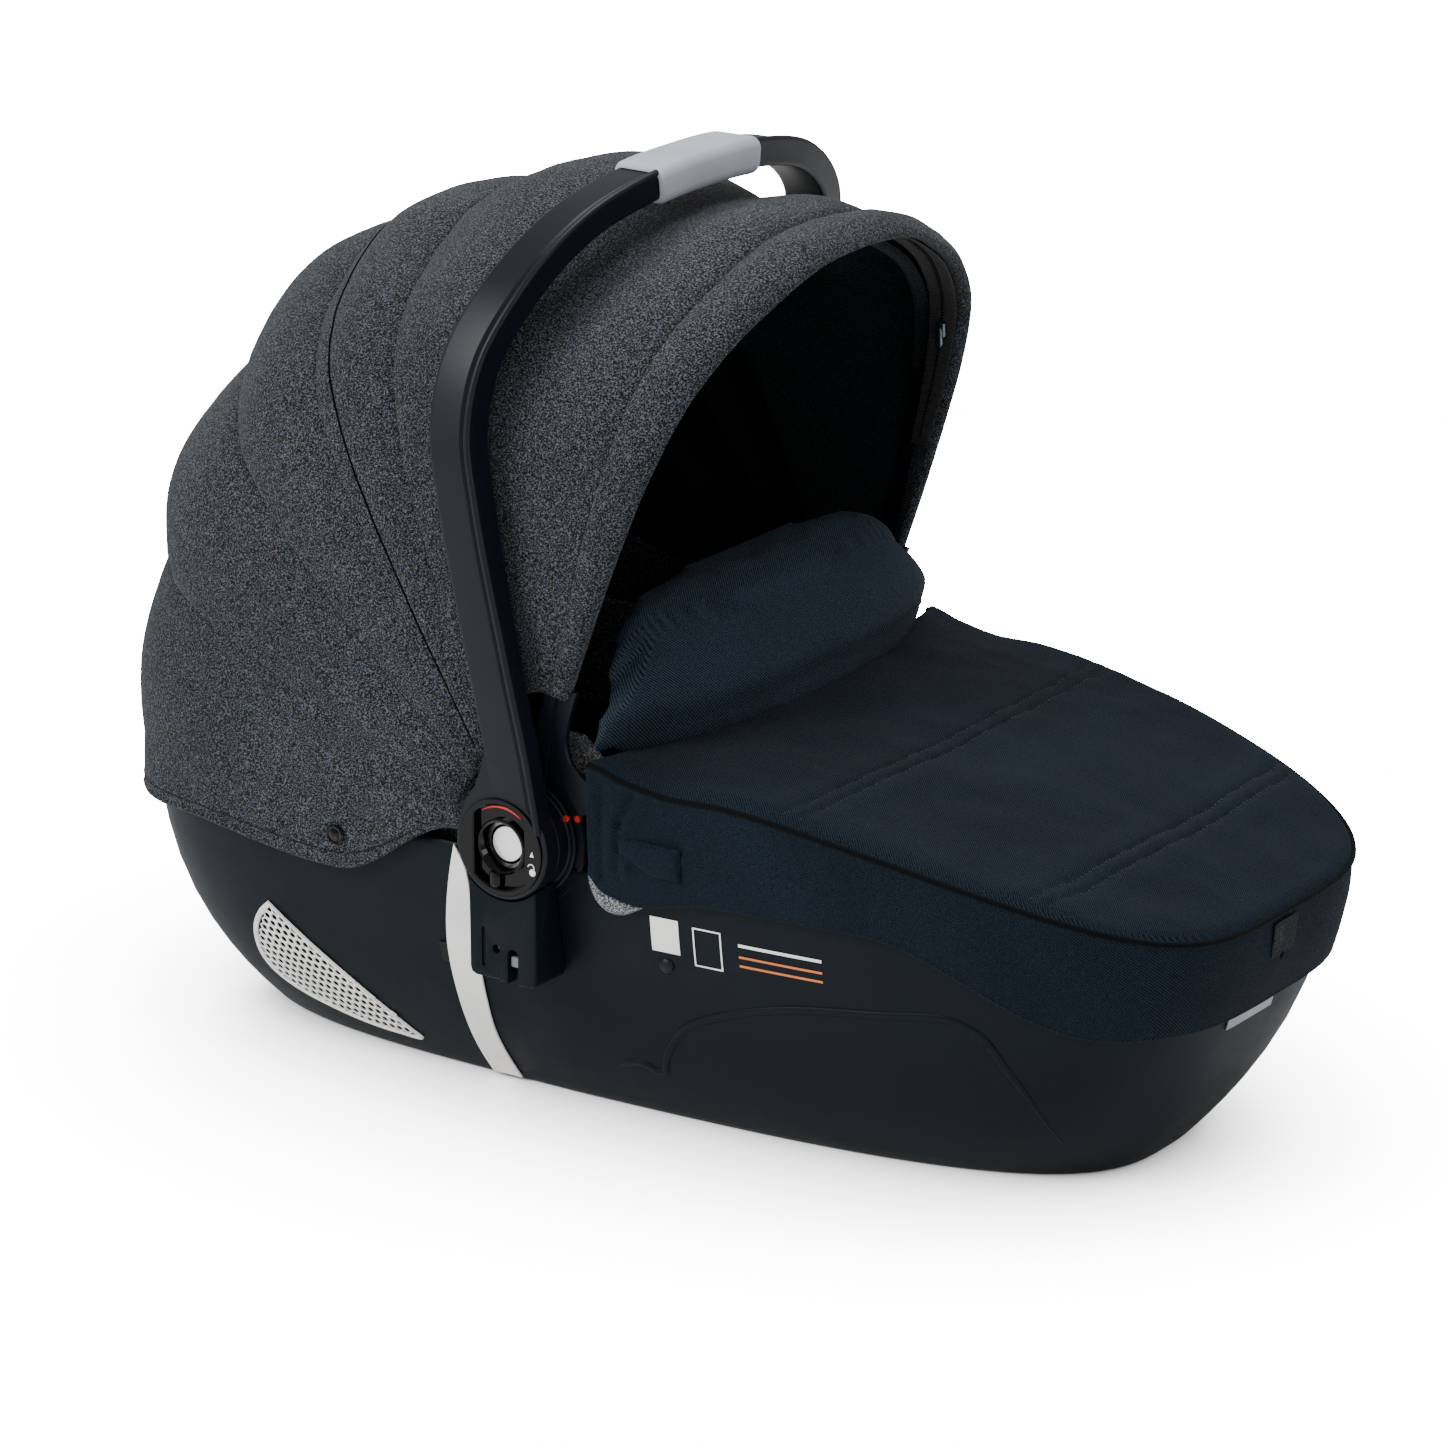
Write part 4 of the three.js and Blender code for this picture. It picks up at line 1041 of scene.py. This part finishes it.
def make_handle():
    """The bar, swept out at its roots into the two hubs, and the grip round its crown."""
    shares = np.linspace(0.008, 0.992, 170)
    rings = handle_rings(shares, lambda k, depth, thickness: handle_section(depth, thickness))
    bar = loft("carry_handle", rings, HANDLE, False, 40)
    pieces = [cut(bar, [solid_disc("cutter", HUB_BORE, 190, 240, side, HANDLE) for _, side in SIDES])]
    flare = spline([(-57.5, 268), (-60.6, 252), (-63.8, 238.5), (-70, 225), (-77.5, 212.5), (-81.6, 201),
                    (-82.6, 191)], np.linspace(0, 1, 24))
    outline = np.vstack([flare, [(-50, 191), (-42, 268)]])
    profile = [(6.4, 199.8), (33.4, 199.8), (34, 200.4), (34, 212.2), (33.3, 213.2), (32, 213.7),
               (31.4, 213.7), (31.4, 213), (28.6, 212.6), (28.6, 203.2), (12.2, 203.2), (12.2, 201.4),
               (6.4, 201.4)]
    for name, side in SIDES:
        root = flat_shape("handle_root", outline, 200.4, 213.4, side, HANDLE, 1.2)
        pieces.append(cut(root, [solid_disc("cutter", HUB_BORE, 190, 240, side, HANDLE)]))
        pieces.append(turned(f"handle_hub_{name}", profile, side, HANDLE))
    settle(joined("carry_handle", pieces), "handle", "handle_plastic", "handle_bow")
    shares = np.linspace(*GRIP_SHARES, 60)
    ends = np.minimum(1, np.minimum(shares - shares[0], shares[-1] - shares) / 0.004)
    swollen = 1.4 + 2.2 * np.sqrt(ends)

    def shell(lift, radius):
        return handle_rings(shares, lambda k, depth, thickness: rounded(
            depth / 2 + lift[k], thickness / 2 + lift[k], radius, 6))

    inner = shell(np.full(len(shares), GAP), 5.2)
    grip = loft("soft_grip", np.concatenate([shell(swollen, 7), inner[::-1]]), GRIP, True, 50)
    settle(grip, "handle", "grip_rubber", "handle_grip")


# ---- Hood ----
ARCH_SHARES = np.linspace(0, 1, 1200)
ARCHES = [spline([(a, b, 0) for a, b in arch], ARCH_SHARES) for arch in (FRONT_ARCH, REAR_ARCH)]


def arch_point(share, angle, radius, half, foot):
    """A hoop at an angle about the hub: share 0 and 1 are its feet and 0.5 is its crown."""
    share, angle, radius, half, foot = np.broadcast_arrays(
        *(np.asarray(v, float) for v in (share, angle, radius, half, foot)))
    covered = 1 - foot / radius / 0.36 / 8
    from_crown = np.abs(share - 0.5) * 2 * covered
    square = ease(-angle, 30, 90)
    across, up = (mix(np.interp(from_crown, ARCH_SHARES, ARCHES[0][:, k]),
                      np.interp(from_crown, ARCH_SHARES, ARCHES[1][:, k]), square) for k in (0, 1))
    turn = np.radians(angle)
    return stack(HUB_X + radius * up * np.sin(turn), np.sign(share - 0.5) * across * half,
                 HUB_Z + radius * up * np.cos(turn))


def hood_point(share, angle, depth):
    """The hood's cloth: it bulges between seams, and dips under the grip."""
    share, angle, depth = np.broadcast_arrays(*(np.asarray(v, float) for v in (share, angle, depth)))
    seam_angles = np.array([a for a, _, _ in SEAMS], float)
    after = np.clip(np.searchsorted(-seam_angles, -angle, side="left"), 1, len(SEAMS) - 1)
    start, end = np.array(SEAMS, float)[after - 1], np.array(SEAMS, float)[after]
    way = np.clip((start[..., 0] - angle) / (start[..., 0] - end[..., 0]), 0, 1)
    bulge = start[..., 2] * np.sin(math.pi * way) ** 0.75
    side_bulge = 0.07 * start[..., 2] * np.sin(math.pi * way) ** 2
    dip = 32 * bump(angle, 0, 8) - VISOR_RISE * bump(angle, 16.6, 2.4)
    tuck = 1.0 * bump(angle, TOPSTITCH, 0.6)
    radius = mix(start[..., 1], end[..., 1], way) + bulge - dip - tuck - depth
    half = mix(193, 197, ease(-angle, 0, 90)) + side_bulge - tuck - depth
    foot = mix(96, 47, ease(-angle, -13, 40)) - 10 * ease(-angle, 66, 90)
    return arch_point(share, angle, radius, half, foot)


def hood_line(shares, angle, depth, amount=0.9):
    """A line across the hood at one angle, uneven as its cloth is."""
    return puckered(hood_point(shares, angle, depth), angle + 0 * shares, amount)


def puckered(points, angle, amount=0.9):
    """Small folds that run out from the seams, and a slow unevenness over the cloth."""
    from_seam = np.min([np.abs(angle - a) for a, _, _ in SEAMS[1:]], axis=0)
    centre = np.array([HUB_X, 0, HUB_Z - 10])
    outward = unit(points - centre)
    folds = ripple(points * [1, 1, 0.6], 17, 5) * np.exp(-from_seam / 4.5) * 1.3
    slow = ripple(points, 70, 11) * 1.5
    return points + outward * (amount * (folds + slow))[..., None]


def cloth_grid(from_angle, to_angle, across, along, from_share=0.0, to_share=1.0):
    u, v = np.meshgrid(np.linspace(from_share, to_share, across), np.linspace(0, 1, along))
    angle = mix(from_angle, to_angle, v)
    outside = puckered(hood_point(u, angle, 0), angle)
    inside = puckered(hood_point(u, angle, CLOTH), angle)
    return outside, inside


def declare_sheet(piece):
    """Returns the piece unchanged."""
    return piece


def bend(piece):
    """Bakes the piece's placement into its mesh."""
    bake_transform(piece)


def make_gores():
    for i, (name, _, _) in enumerate(BOWS):
        start, end = SEAMS[i + 1][0], SEAMS[i + 2][0]
        along = 34 if i == 0 else 18
        outside, inside_grid = cloth_grid(start, end, 150, along)
        gore = slab(f"hood_cloth_{name}", outside, inside_grid, KNIT, 60)
        gore.data.materials.append(INNER)
        half = (outside.shape[0] - 1) * (outside.shape[1] - 1)
        for face in gore.data.polygons[half:2 * half]:
            face.material_index = 1
        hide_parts(f"hood_gore_{name}")
        bend(gore)
        declare_sheet(gore)


def make_seam_lines():
    """A cloth channel over each bow inside, and outside the topstitching and the rear seam, each drawn as a
    dark line of painted shadow in its seam.
    """
    for number, (name, angle, radius) in enumerate(BOWS):
        half = 189.2 - 3 * number
        path = arch_point(np.linspace(0.18, 0.82, 120), angle, radius - 1.2, half, 0)
        away = unit(path - [HUB_X, 0, HUB_Z])
        channel = tube(f"bow_channel_{name}", path, 6.2, INNER, 12, False, 0.55, away)
        settle(channel, f"hood_{name}", "hood_knit")
    shares = np.linspace(0.004, 0.996, 220)
    # the topstitching's groove, drawn as a dark line of painted shadow
    topstitch_shadow = tube("topstitch_shadow", hood_line(shares, TOPSTITCH, -0.2), 0.7, PAINTED_SEAM_SHADOW, 8)
    bend(topstitch_shadow)
    # the seam at the fourth bow, in the darker knit: painted shade in its valley
    rear_seam_shade = tube("fourth_seam_shade", hood_line(shares, BOWS[3][1], 0.5), 0.7, SEAM_SHADE_KNIT, 8)
    settle(rear_seam_shade, "hood_fourth", "hood_knit")


# The visor's section: angle about the hub, and depth below the cloth.
VISOR = ((19.0, 1.0), (19.75, 3.2), (19.9, 5.6), (19.6, 8.0), (18.7, 9.6), (17.4, 8.6), (15.5, 5.4),
         (13.15, 3.0), (13.0, 1.2), (13.15, 0.0), (15.0, -0.9), (17.4, -0.7))


def make_visor():
    """The padded band round the hood's mouth, with a welt along its rear edge drawn in darker knit as painted
    shade.
    """
    shares = np.linspace(0, 1, 180)
    rings = np.array([hood_line(shares, angle, depth, 0.8) for angle, depth in VISOR])
    band = loft("visor_band", rings.transpose(1, 0, 2), KNIT, False, 70)
    settle(band, "hood_front", "hood_knit", "hood_visor_band")
    welt = tube("visor_welt_shade", hood_line(shares, 13.1, 0.8), 0.8, SEAM_SHADE_KNIT, 8)
    settle(welt, "hood_front", "hood_knit")


def make_arms():
    """Flat black arms under the visor's feet: a straight stem that sweeps out to a foot at the hub."""
    ahead = spline([(-9, 290), (-15.5, 268), (-16.8, 254), (-13.5, 244), (-6.5, 238), (3, 230), (7, 218)],
                   np.linspace(0, 1, 30))
    foot = np.radians(np.linspace(26, 118, 24))
    arc = np.stack([HUB_X + 46 * np.cos(foot), HUB_Z + 46 * np.sin(foot)], axis=1)
    behind = spline([(-66, 240), (-50, 250), (-38, 266), (-33.5, 292)], np.linspace(0, 1, 16))
    for name, side in SIDES:
        outline = np.vstack([ahead, arc, behind])
        arm = flat_shape(f"hood_arm_{name}", outline, 185.6, 189, side, HANDLE, 1.0)
        settle(arm, "hood_front", "handle_plastic")


def hem_height(x):
    return HUB_Z - 44 * ease(-x, 96, 190) + 9 * ease(-x, 190, 320)


def rear_points(u, v, depth):
    """From the last seam back to level with the hub, then down over the shell to the hem."""
    angle = mix(REAR_FROM, -90, np.minimum(v / 0.5, 1))
    points = hood_point(u, angle, depth)
    down = np.clip((v - 0.5) / 0.5, 0, 1)
    points[..., 2] = np.where(v > 0.5, mix(HUB_Z, hem_height(points[..., 0]), down), points[..., 2])
    return points


def make_rear():
    """The fixed rear panel from its seam to the hem that lies over the tub."""
    u, v = grid(210, 44)
    angle = mix(REAR_FROM, -90, v)

    def cloth(depth):
        points = rear_points(u, v, depth)
        outward = unit(points - [HUB_X - 120, 0, points[0, 0, 2]])
        outward[..., 2] = 0
        slow = ripple(points, 60, 21) * 1.6
        slow = slow + ripple(points * [1, 1, 0.5], 22, 9) * 0.9 * bump(v, 0.75, 0.3)
        return puckered(points, angle, 0.4) + unit(outward) * (slow * np.minimum(1, v * 4))[..., None]

    outside, inner = cloth(0), cloth(CLOTH)
    rear = slab("hood_rear_cloth", outside, inner, KNIT, 60)
    settle(rear, "carrier", "hood_knit", "hood_rear_panel")
    declare_sheet(rear)
    hem = mix(outside[-1], inner[-1], 0.5)
    settle(tube("rear_hem", hem, 2.3, KNIT, 10), "carrier", "hood_knit")
    # the rear seam, a line of the darker knit: painted shade along the seam
    settle(tube("rear_seam_shade", outside[-5], 0.6, SEAM_SHADE_KNIT, 8), "carrier", "hood_knit")


def make_zip():
    """Zip tape round the inside of the mouth, its teeth, and a slider with a hanging pull."""
    u, v = np.meshgrid(np.linspace(0.07, 0.93, 140), np.linspace(0, 1, 5))
    angle = mix(18.6, 14.8, v)
    outside, inner = hood_point(u, angle, 11.0), hood_point(u, angle, 12.0)
    tape = slab("zip_tape", outside, inner, STRAP, 60)
    settle(tape, "hood_front", "webbing", "hood_zip_tape")
    declare_sheet(tape)
    line = hood_point(np.linspace(0.075, 0.925, 500), 16.7, 12.6)
    settle(stitches("zip_teeth", line, GLOSS, 1.5, 2.5, 1.1), "hood_front", "gloss_plastic")
    x, y, z = hood_point(0.8, 16.7, 13.0)
    steps = ((0.6, z + 1), (1, z), (1, z - 8), (0.7, z - 9))
    body = loft("zip_slider_body", level_rings(rounded(3.2, 1.9, 1, 4), steps, x, y), DARK_STEEL)
    steps = ((0.5, z - 3), (1, z - 5), (1.25, z - 13), (0.8, z - 15))
    pull = loft("zip_pull", level_rings(rounded(2.1, 0.8, 0.7, 4), steps, x - 0.4, y - 2.4), DARK_STEEL)
    settle(joined("zip_slider", [body, pull]), "hood_front", "steel", "hood_zip_slider")


# ---- Foot apron ----
def apron_height(x, y):
    """The apron's plain surface, which falls towards the foot and lifts at its rear corners."""
    lengthways = np.maximum(0, x / 384) ** 1.8
    edge = np.minimum(1, np.abs(y) / APRON_HALF) ** 6
    corner = edge * (5 * bump(x, 4, 16) - 4.5 * bump(x, 58, 30))
    return 248 - 72 * lengthways + 5 * (1 - np.minimum(1, np.abs(y) / 200) ** 2) + corner


def apron_edge(share, height, outset):
    """The tub's outline round its foot half, from rear corner to rear corner, pushed out."""
    return tub_outline(mix(-1, 1, share) * APRON_END_TURN, height, -outset)


APRON_SEAMS = (151, 303)  # x of the two cross seams at the middle
SEAM_ROWS = (("rear", -5.5), ("front", 5.5))  # the two rows of stitches of each seam


def seam_bow(y):
    """How far a cross seam runs back towards the sides."""
    return 10 * (np.abs(y) / APRON_HALF) ** 2


def apron_wrinkle(x, y):
    broad = ripple(stack(x, y * 1.3, 0 * x), 46, 2) * 2.0
    return broad + ripple(stack(x * 0.5, y, 0 * x), 17, 4) * 0.5


def apron_relief(x, y):
    """How the quilted top departs from its plain surface: two cross seams and soft filling."""
    relief = 1.6 * np.sin(np.clip((x - 8) / 370, 0, 1) * math.pi)
    for seam in APRON_SEAMS:
        bowed = seam - seam_bow(y)
        pucker = 1 + 0.5 * np.sin(y / 3.7) * np.sin(y / 9.1 + seam)
        for _, offset in SEAM_ROWS:
            relief = relief - 1.3 * pucker * bump(x, bowed + offset, 1.9)
        relief = relief + 0.8 * bump(x, bowed, 4.5)
        relief = relief + 0.9 * bump(x, bowed - 15, 9) + 0.9 * bump(x, bowed + 15, 9)
    return relief


def make_apron_top():
    """The quilted top, rolled down at its edge, and the threads of its two double seams."""
    shares = np.linspace(0, 1, 420)
    edge = apron_edge(shares, 200, APRON_OUTSET)
    corner = edge[0]
    y = np.linspace(-corner[1], corner[1], 42)[1:-1]
    rear = stack(corner[0] + 14 * (1 - (y / corner[1]) ** 2), y, 0)
    outline = np.vstack([edge, rear])
    outline[:, 2] = 0
    middle = np.array([170.0, 0, 0])
    rings = []
    sizes = np.concatenate([np.linspace(0.02, 0.97, 150), [0.985, 0.995, 1.0]])
    for size in sizes:
        ring = middle + (outline - middle) * size
        x, y = ring[:, 0], ring[:, 1]
        rolled = 4.5 * ease(size, 0.965, 1.0) ** 2
        calm = ease(size, 1.0, 0.93)
        z = apron_height(x, y) - rolled + calm * (apron_relief(x, y) + apron_wrinkle(x, y))
        rings.append(stack(x, y, z))
    for size in (1.0, 0.9, 0.5, 0.02):
        ring = middle + (outline - middle) * size
        x, y = ring[:, 0], ring[:, 1]
        rings.append(stack(x, y, apron_height(x, y) - 5 - 0.4 * (size < 1)))
    top = loft("apron_top", rings, TWILL, False, 60)
    settle(top, "carrier", "apron_twill", "foot_apron_top")
    line_y = np.linspace(-1, 1, 120)
    reach = np.abs(apron_edge(0.5 + 0.5 * np.linspace(0.2, 1, 200), 200, APRON_OUTSET))
    for number, seam in enumerate(APRON_SEAMS):
        for place, offset in SEAM_ROWS:
            half = np.interp(-(seam + offset), -reach[:, 0], reach[:, 1]) - 5
            y = line_y * half
            x = seam + offset - seam_bow(y)
            z = apron_height(x, y) + apron_relief(x, y) + apron_wrinkle(x, y) + 0.1
            threads = stitches(f"apron_thread_{number}_{place}", stack(x, y, z), THREAD)
            settle(threads, "carrier", "webbing")


def skirt_points(u, v, depth):
    top = apron_edge(u, 200, APRON_OUTSET)
    x = top[..., 0]
    low = mix(174, 120, ease(x, 190, 350)) - 9 * bump(x, 38, 30) + 16 * ease(x, 16, -8)
    high = apron_height(top[..., 0], top[..., 1]) - 5.2
    return apron_edge(u, mix(high, low, v), mix(APRON_OUTSET, 2, depth)), top


# Folds in the skirt behind its rear corners: where each starts and ends, x and z.
CORNER_CREASES = (
    ((26, 214), (24, 186)),
    ((26, 213), (36, 234)),
    ((28, 199), (66, 210)),
    ((34, 188), (72, 207)),
    ((14, 236), (13, 178)),
)


def from_line(x, z, start, end):
    """How far points are from a stretch of line in the XZ plane."""
    run = np.subtract(end, start)
    share = np.clip(((x - start[0]) * run[0] + (z - start[1]) * run[1]) / (run @ run), 0, 1)
    return np.hypot(x - start[0] - share * run[0], z - start[1] - share * run[1])


def make_skirt():
    """The cloth that hangs round the apron's edge, its hem, and the piping along the top's edge."""
    u, v = grid(560, 40)

    def cloth(depth):
        points, top = skirt_points(u, v, depth)
        outward = unit(top - [TUB_X, 0, 0]) * [1, 1, 0]
        soft = (1.4 + 1.5 * ripple(points, 34, 7)) * np.sin(math.pi * v)
        for (from_x, from_z), (to_x, to_z) in CORNER_CREASES:
            away = from_line(points[..., 0], points[..., 2], (from_x, from_z), (to_x, to_z))
            soft = soft - 2.4 * bump(away, 0, 2.2) + 0.9 * bump(away, 7, 4)
        return points + outward * (soft * (1 - 0.7 * depth))[..., None]

    skirt = slab("apron_skirt", cloth(0), cloth(1), TWILL, 60)
    settle(skirt, "carrier", "apron_twill", "foot_apron_skirt")
    outside = cloth(0)
    settle(tube("skirt_hem", mix(outside[-1], cloth(1)[-1], 0.35), 2.4, TWILL, 10), "carrier", "apron_twill")
    shares = np.linspace(0, 1, 260)
    edge = apron_edge(shares, 200, APRON_OUTSET - 0.6)
    edge[:, 2] = apron_height(edge[:, 0], edge[:, 1]) - 4.6
    settle(tube("apron_piping", edge, 2.0, BINDING, 10), "carrier", "apron_twill")


def make_corner(name, side):
    """The soft strap folded into the apron's rear corner, and the lining that peeps from under it."""
    u, v = grid(40, 24)
    x = mix(28, 69, u)
    low = np.interp(u, [0, 0.55, 1], [199, 187.5, 187.5])
    z = mix(mix(207, 205.6, u), low, v)
    soft = 1.6 * (np.sin(math.pi * u) * np.sin(math.pi * v)) ** 0.4
    soft = soft + 0.9 * ripple(stack(x, 0 * x, z), 13, side)
    outside, inside_face = flank(x, z, side, 11.8 + soft), flank(x, z, side, 9.0)
    strap = slab(f"corner_strap_{name}", outside, inside_face, TWILL, 60)
    settle(strap, "carrier", "apron_twill")
    _, across = grid(30, 7)
    edges = ([(3, 184), (0.5, 178), (1.5, 169), (6, 160), (13, 155), (23, 154.5), (37, 161)],
             [(12, 190), (10, 184), (10, 176), (14, 169), (21, 165), (30, 164), (38, 163)])
    outer, inner = (spline(edge, np.linspace(0, 1, 30)) for edge in edges)
    x, z = (mix(outer[:, k], inner[:, k], across) for k in (0, 1))
    puff = 3.6 * np.sin(math.pi * mix(0.12, 1, across)) ** 0.5
    outside, inside_face = flank(x, z, side, 2.2 + puff), flank(x, z, side, 0.5 + 0 * x)
    tongue = slab(f"lining_tongue_{name}", outside, inside_face, LINING, 60)
    settle(tongue, "carrier", "grey_lining")


def patch_at_tip(name, turns, heights, lift, material):
    """A small rounded patch on the skirt's tip."""
    outline = rounded(abs(turns[1] - turns[0]) * 50, (heights[1] - heights[0]) / 2, 1.6, 5)
    rings = []
    for share, out in ((0.03, lift - 0.6), (1, lift - 0.6), (1, lift), (0.03, lift)):
        turn = sum(turns) / 2 + outline[:, 0] * share / 100
        z = sum(heights) / 2 + outline[:, 1] * share
        rings.append(tub_outline(turn, z, -out))
    return loft(name, rings, material, False, 50)


def make_tip():
    """A notch in the skirt's tip, shown as a near-black patch of painted shade with the lining on it drawn in
    darker knit as painted shade, and the seam that runs down from it, drawn as a dark line of painted seam
    shadow.
    """
    # painted shade: a near-black patch on the skirt stands for the dark inside of the notch
    notch = patch_at_tip("tip_notch_shade", (-0.13, 0.03), (149, 172), APRON_OUTSET + 2.2, INNER)
    settle(notch, "carrier", "apron_twill")
    # the lining in the notch, in the darker knit: painted shade
    glimpse = patch_at_tip("tip_lining_in_shade", (-0.122, -0.06), (156, 170), APRON_OUTSET + 2.4, SEAM_SHADE_KNIT)
    settle(glimpse, "carrier", "grey_lining")
    z = np.linspace(150, 122, 30)
    turn = -0.052 - 0.0006 * (150 - z)
    base = tub_outline(turn, z, -mix(APRON_OUTSET + 2.2, 2.6, np.linspace(0, 1, 30)))
    # the tip's seam, drawn as a dark line of painted seam shadow
    settle(tube("tip_seam_shadow", base, 0.9, PAINTED_SEAM_SHADOW, 8), "carrier", "apron_twill")


# ---- Wind guard ----
def guard_point(u, v, front):
    """The guard's cushion: sewn along a bowed line on the apron, and leaning back to its crest."""
    y = mix(-175, 175, u)
    across = np.minimum(np.abs(y / 175), 1)
    y = y * (1 + 0.07 * np.sin(math.pi * np.minimum(v / 0.85, 1)))
    foot = mix(36, 2, across**2.6)
    height = 76 * (1 - across**4.6) ** 0.5 + 6
    lean = mix(foot, -20, v**1.25 * height / 82)
    fullness = np.sin(math.pi * mix(0.1, 0.9, v)) * (1 - across**5)
    thick = 2.5 + 15 * fullness
    low = apron_height(np.maximum(lean, 0), y) - 1.5
    x = lean + np.where(front, thick, -thick * 0.6)
    return stack(x, y, mix(low, 256 + height, v) + 0 * x)


def make_guard():
    """The wind guard, filled above its sewn foot."""
    u, v = grid(90, 26)
    guard = slab("wind_guard_pad", guard_point(u, v, True), guard_point(u, v, False), GUARD, 60)
    swell(guard, 0.005, 3.5, 0.005, 0.262)
    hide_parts("wind_guard")
    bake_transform(guard)


def make_buckle():
    """The harness buckle's rounded body, with a pocket for its red press."""
    x = 58
    outline, pocket = rounded(31.5, 23.5, 9, 8), rounded(12.6, 12.6, 2.5, 8)
    steps = ((0.97, 83.2), (1, 84.6), (1, 96), (0.96, 99.4), (0.9, 100.4))
    rings = level_rings(outline, steps, x)
    rings += level_rings(pocket, ((1.06, 100.4), (1, 99.8), (1, 92), (0.1, 91.8)), x)
    body = loft("buckle_body", rings, HANDLE, False, 40)
    settle(body, "carrier", "handle_plastic", "harness_buckle")
    steps = ((1, 95.2), (1, 101.4), (0.95, 102.4), (0.82, 102.6), (0.6, 102.1), (0.05, 101.9))
    press = loft("buckle_press", level_rings(rounded(11.8, 11.8, 2.4, 6), steps, x), RED, False, 40)
    settle(press, "buckle_press", "red_plastic", "buckle_button")


def finish_plain_parts():
    """Gives the CAD parts whose shape is right as it stands their materials."""
    finishes = {"back_board": SHELL, "recline_rod": STEEL}
    for name, _ in SIDES:
        finishes[f"pivot_pin_{name}"] = STEEL
        finishes[f"hub_bracket_{name}"] = SHELL
    for name, _, _ in BOWS:
        finishes[f"hood_bow_{name}"] = HANDLE
    for node, material in finishes.items():
        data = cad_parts[node].data
        data.materials.clear()
        data.materials.append(material)


# ---- Stage ----
def make_stage():
    """A white floor, a bright surround and three soft lamps."""
    corners = [(x * 9000, y * 9000, 0) for x, y in ((-1, -1), (1, -1), (1, 1), (-1, 1))]
    mesh("floor", corners, [(0, 1, 2, 3)], floor_finish())
    world = bpy.data.worlds.new("studio")
    world.use_nodes = True
    tree = world.node_tree
    seen = tree.nodes.new("ShaderNodeLightPath").outputs["Is Camera Ray"]
    strength = tree.nodes.new("ShaderNodeMapRange")
    strength.inputs["To Min"].default_value = WORLD_LIGHT
    strength.inputs["To Max"].default_value = BACKDROP_GLOW
    tree.links.new(seen, strength.inputs["Value"])
    tree.nodes["Background"].inputs["Color"].default_value = (1, 1, 1, 1)
    tree.links.new(strength.outputs["Result"], tree.nodes["Background"].inputs["Strength"])
    bpy.context.scene.world = world
    for name, place, size, power in LAMPS:
        lamp = bpy.data.lights.new(name, "AREA")
        lamp.size = size
        lamp.energy = power
        light = bpy.data.objects.new(name, lamp)
        light.location = place
        light.rotation_euler = (Vector((0, 0, 0.25)) - Vector(place)).to_track_quat("-Z", "Y").to_euler()
        bpy.context.scene.collection.objects.link(light)


def floor_finish():
    """White gloss floor that glows to the eye, as an overlit studio sweep does, its glow dimmed near the
    object by ambient occlusion as a painted contact shadow.
    """
    f = Finish("pale_floor", 0.16)
    shade = f.ramp(f.noise(0.6, 1.0), [(0.3, (0.93, 0.93, 0.935)), (0.7, (0.95, 0.95, 0.95))])
    f.colour(shade)
    f.set(specular_ior_level=0.5, emission_color=(1, 1, 1, 1))
    seen = f.tree.nodes.new("ShaderNodeLightPath").outputs["Is Camera Ray"]
    # painted contact shadow: ambient occlusion dims the floor's glow close to the object
    painted_contact_shadow = f.tree.nodes.new("ShaderNodeAmbientOcclusion")
    painted_contact_shadow.inputs["Distance"].default_value = 0.4
    glow = f.math("MULTIPLY", f.math("POWER", painted_contact_shadow.outputs["AO"], 2.6), FLOOR_GLOW)
    f.link(f.math("MULTIPLY", seen, glow), f.shader.inputs["Emission Strength"])
    return f.material


def make_camera():
    lens = bpy.data.cameras.new("camera")
    lens.lens = 149.5
    lens.sensor_width = 36
    lens.clip_end = 50
    camera = bpy.data.objects.new("camera", lens)
    target = Vector((0.0186, -0.0603, 0.2405))
    azimuth, elevation, distance = math.radians(34.04), math.radians(18.19), 3.740
    level = math.cos(elevation)
    away = Vector((math.sin(azimuth) * level, -math.cos(azimuth) * level, math.sin(elevation)))
    camera.location = target + away * distance
    camera.rotation_euler = away.to_track_quat("Z", "Y").to_euler()
    bpy.context.scene.collection.objects.link(camera)
    bpy.context.scene.camera = camera


make_camera()
make_shell()
for side_name, side_sign in SIDES:
    make_shell_line(side_name, side_sign)
    make_band(side_name, side_sign)
    make_vent(side_name, side_sign)
    make_fixings(side_name, side_sign)
    make_block(side_name, side_sign)
    make_face(side_name, side_sign)
    make_corner(side_name, side_sign)
make_prints()
make_label()
make_liner()
make_lining()
make_pads()
make_handle()
make_gores()
make_seam_lines()
make_visor()
make_arms()
make_rear()
make_zip()
make_apron_top()
make_skirt()
make_tip()
make_guard()
make_buckle()
finish_plain_parts()
make_stage()
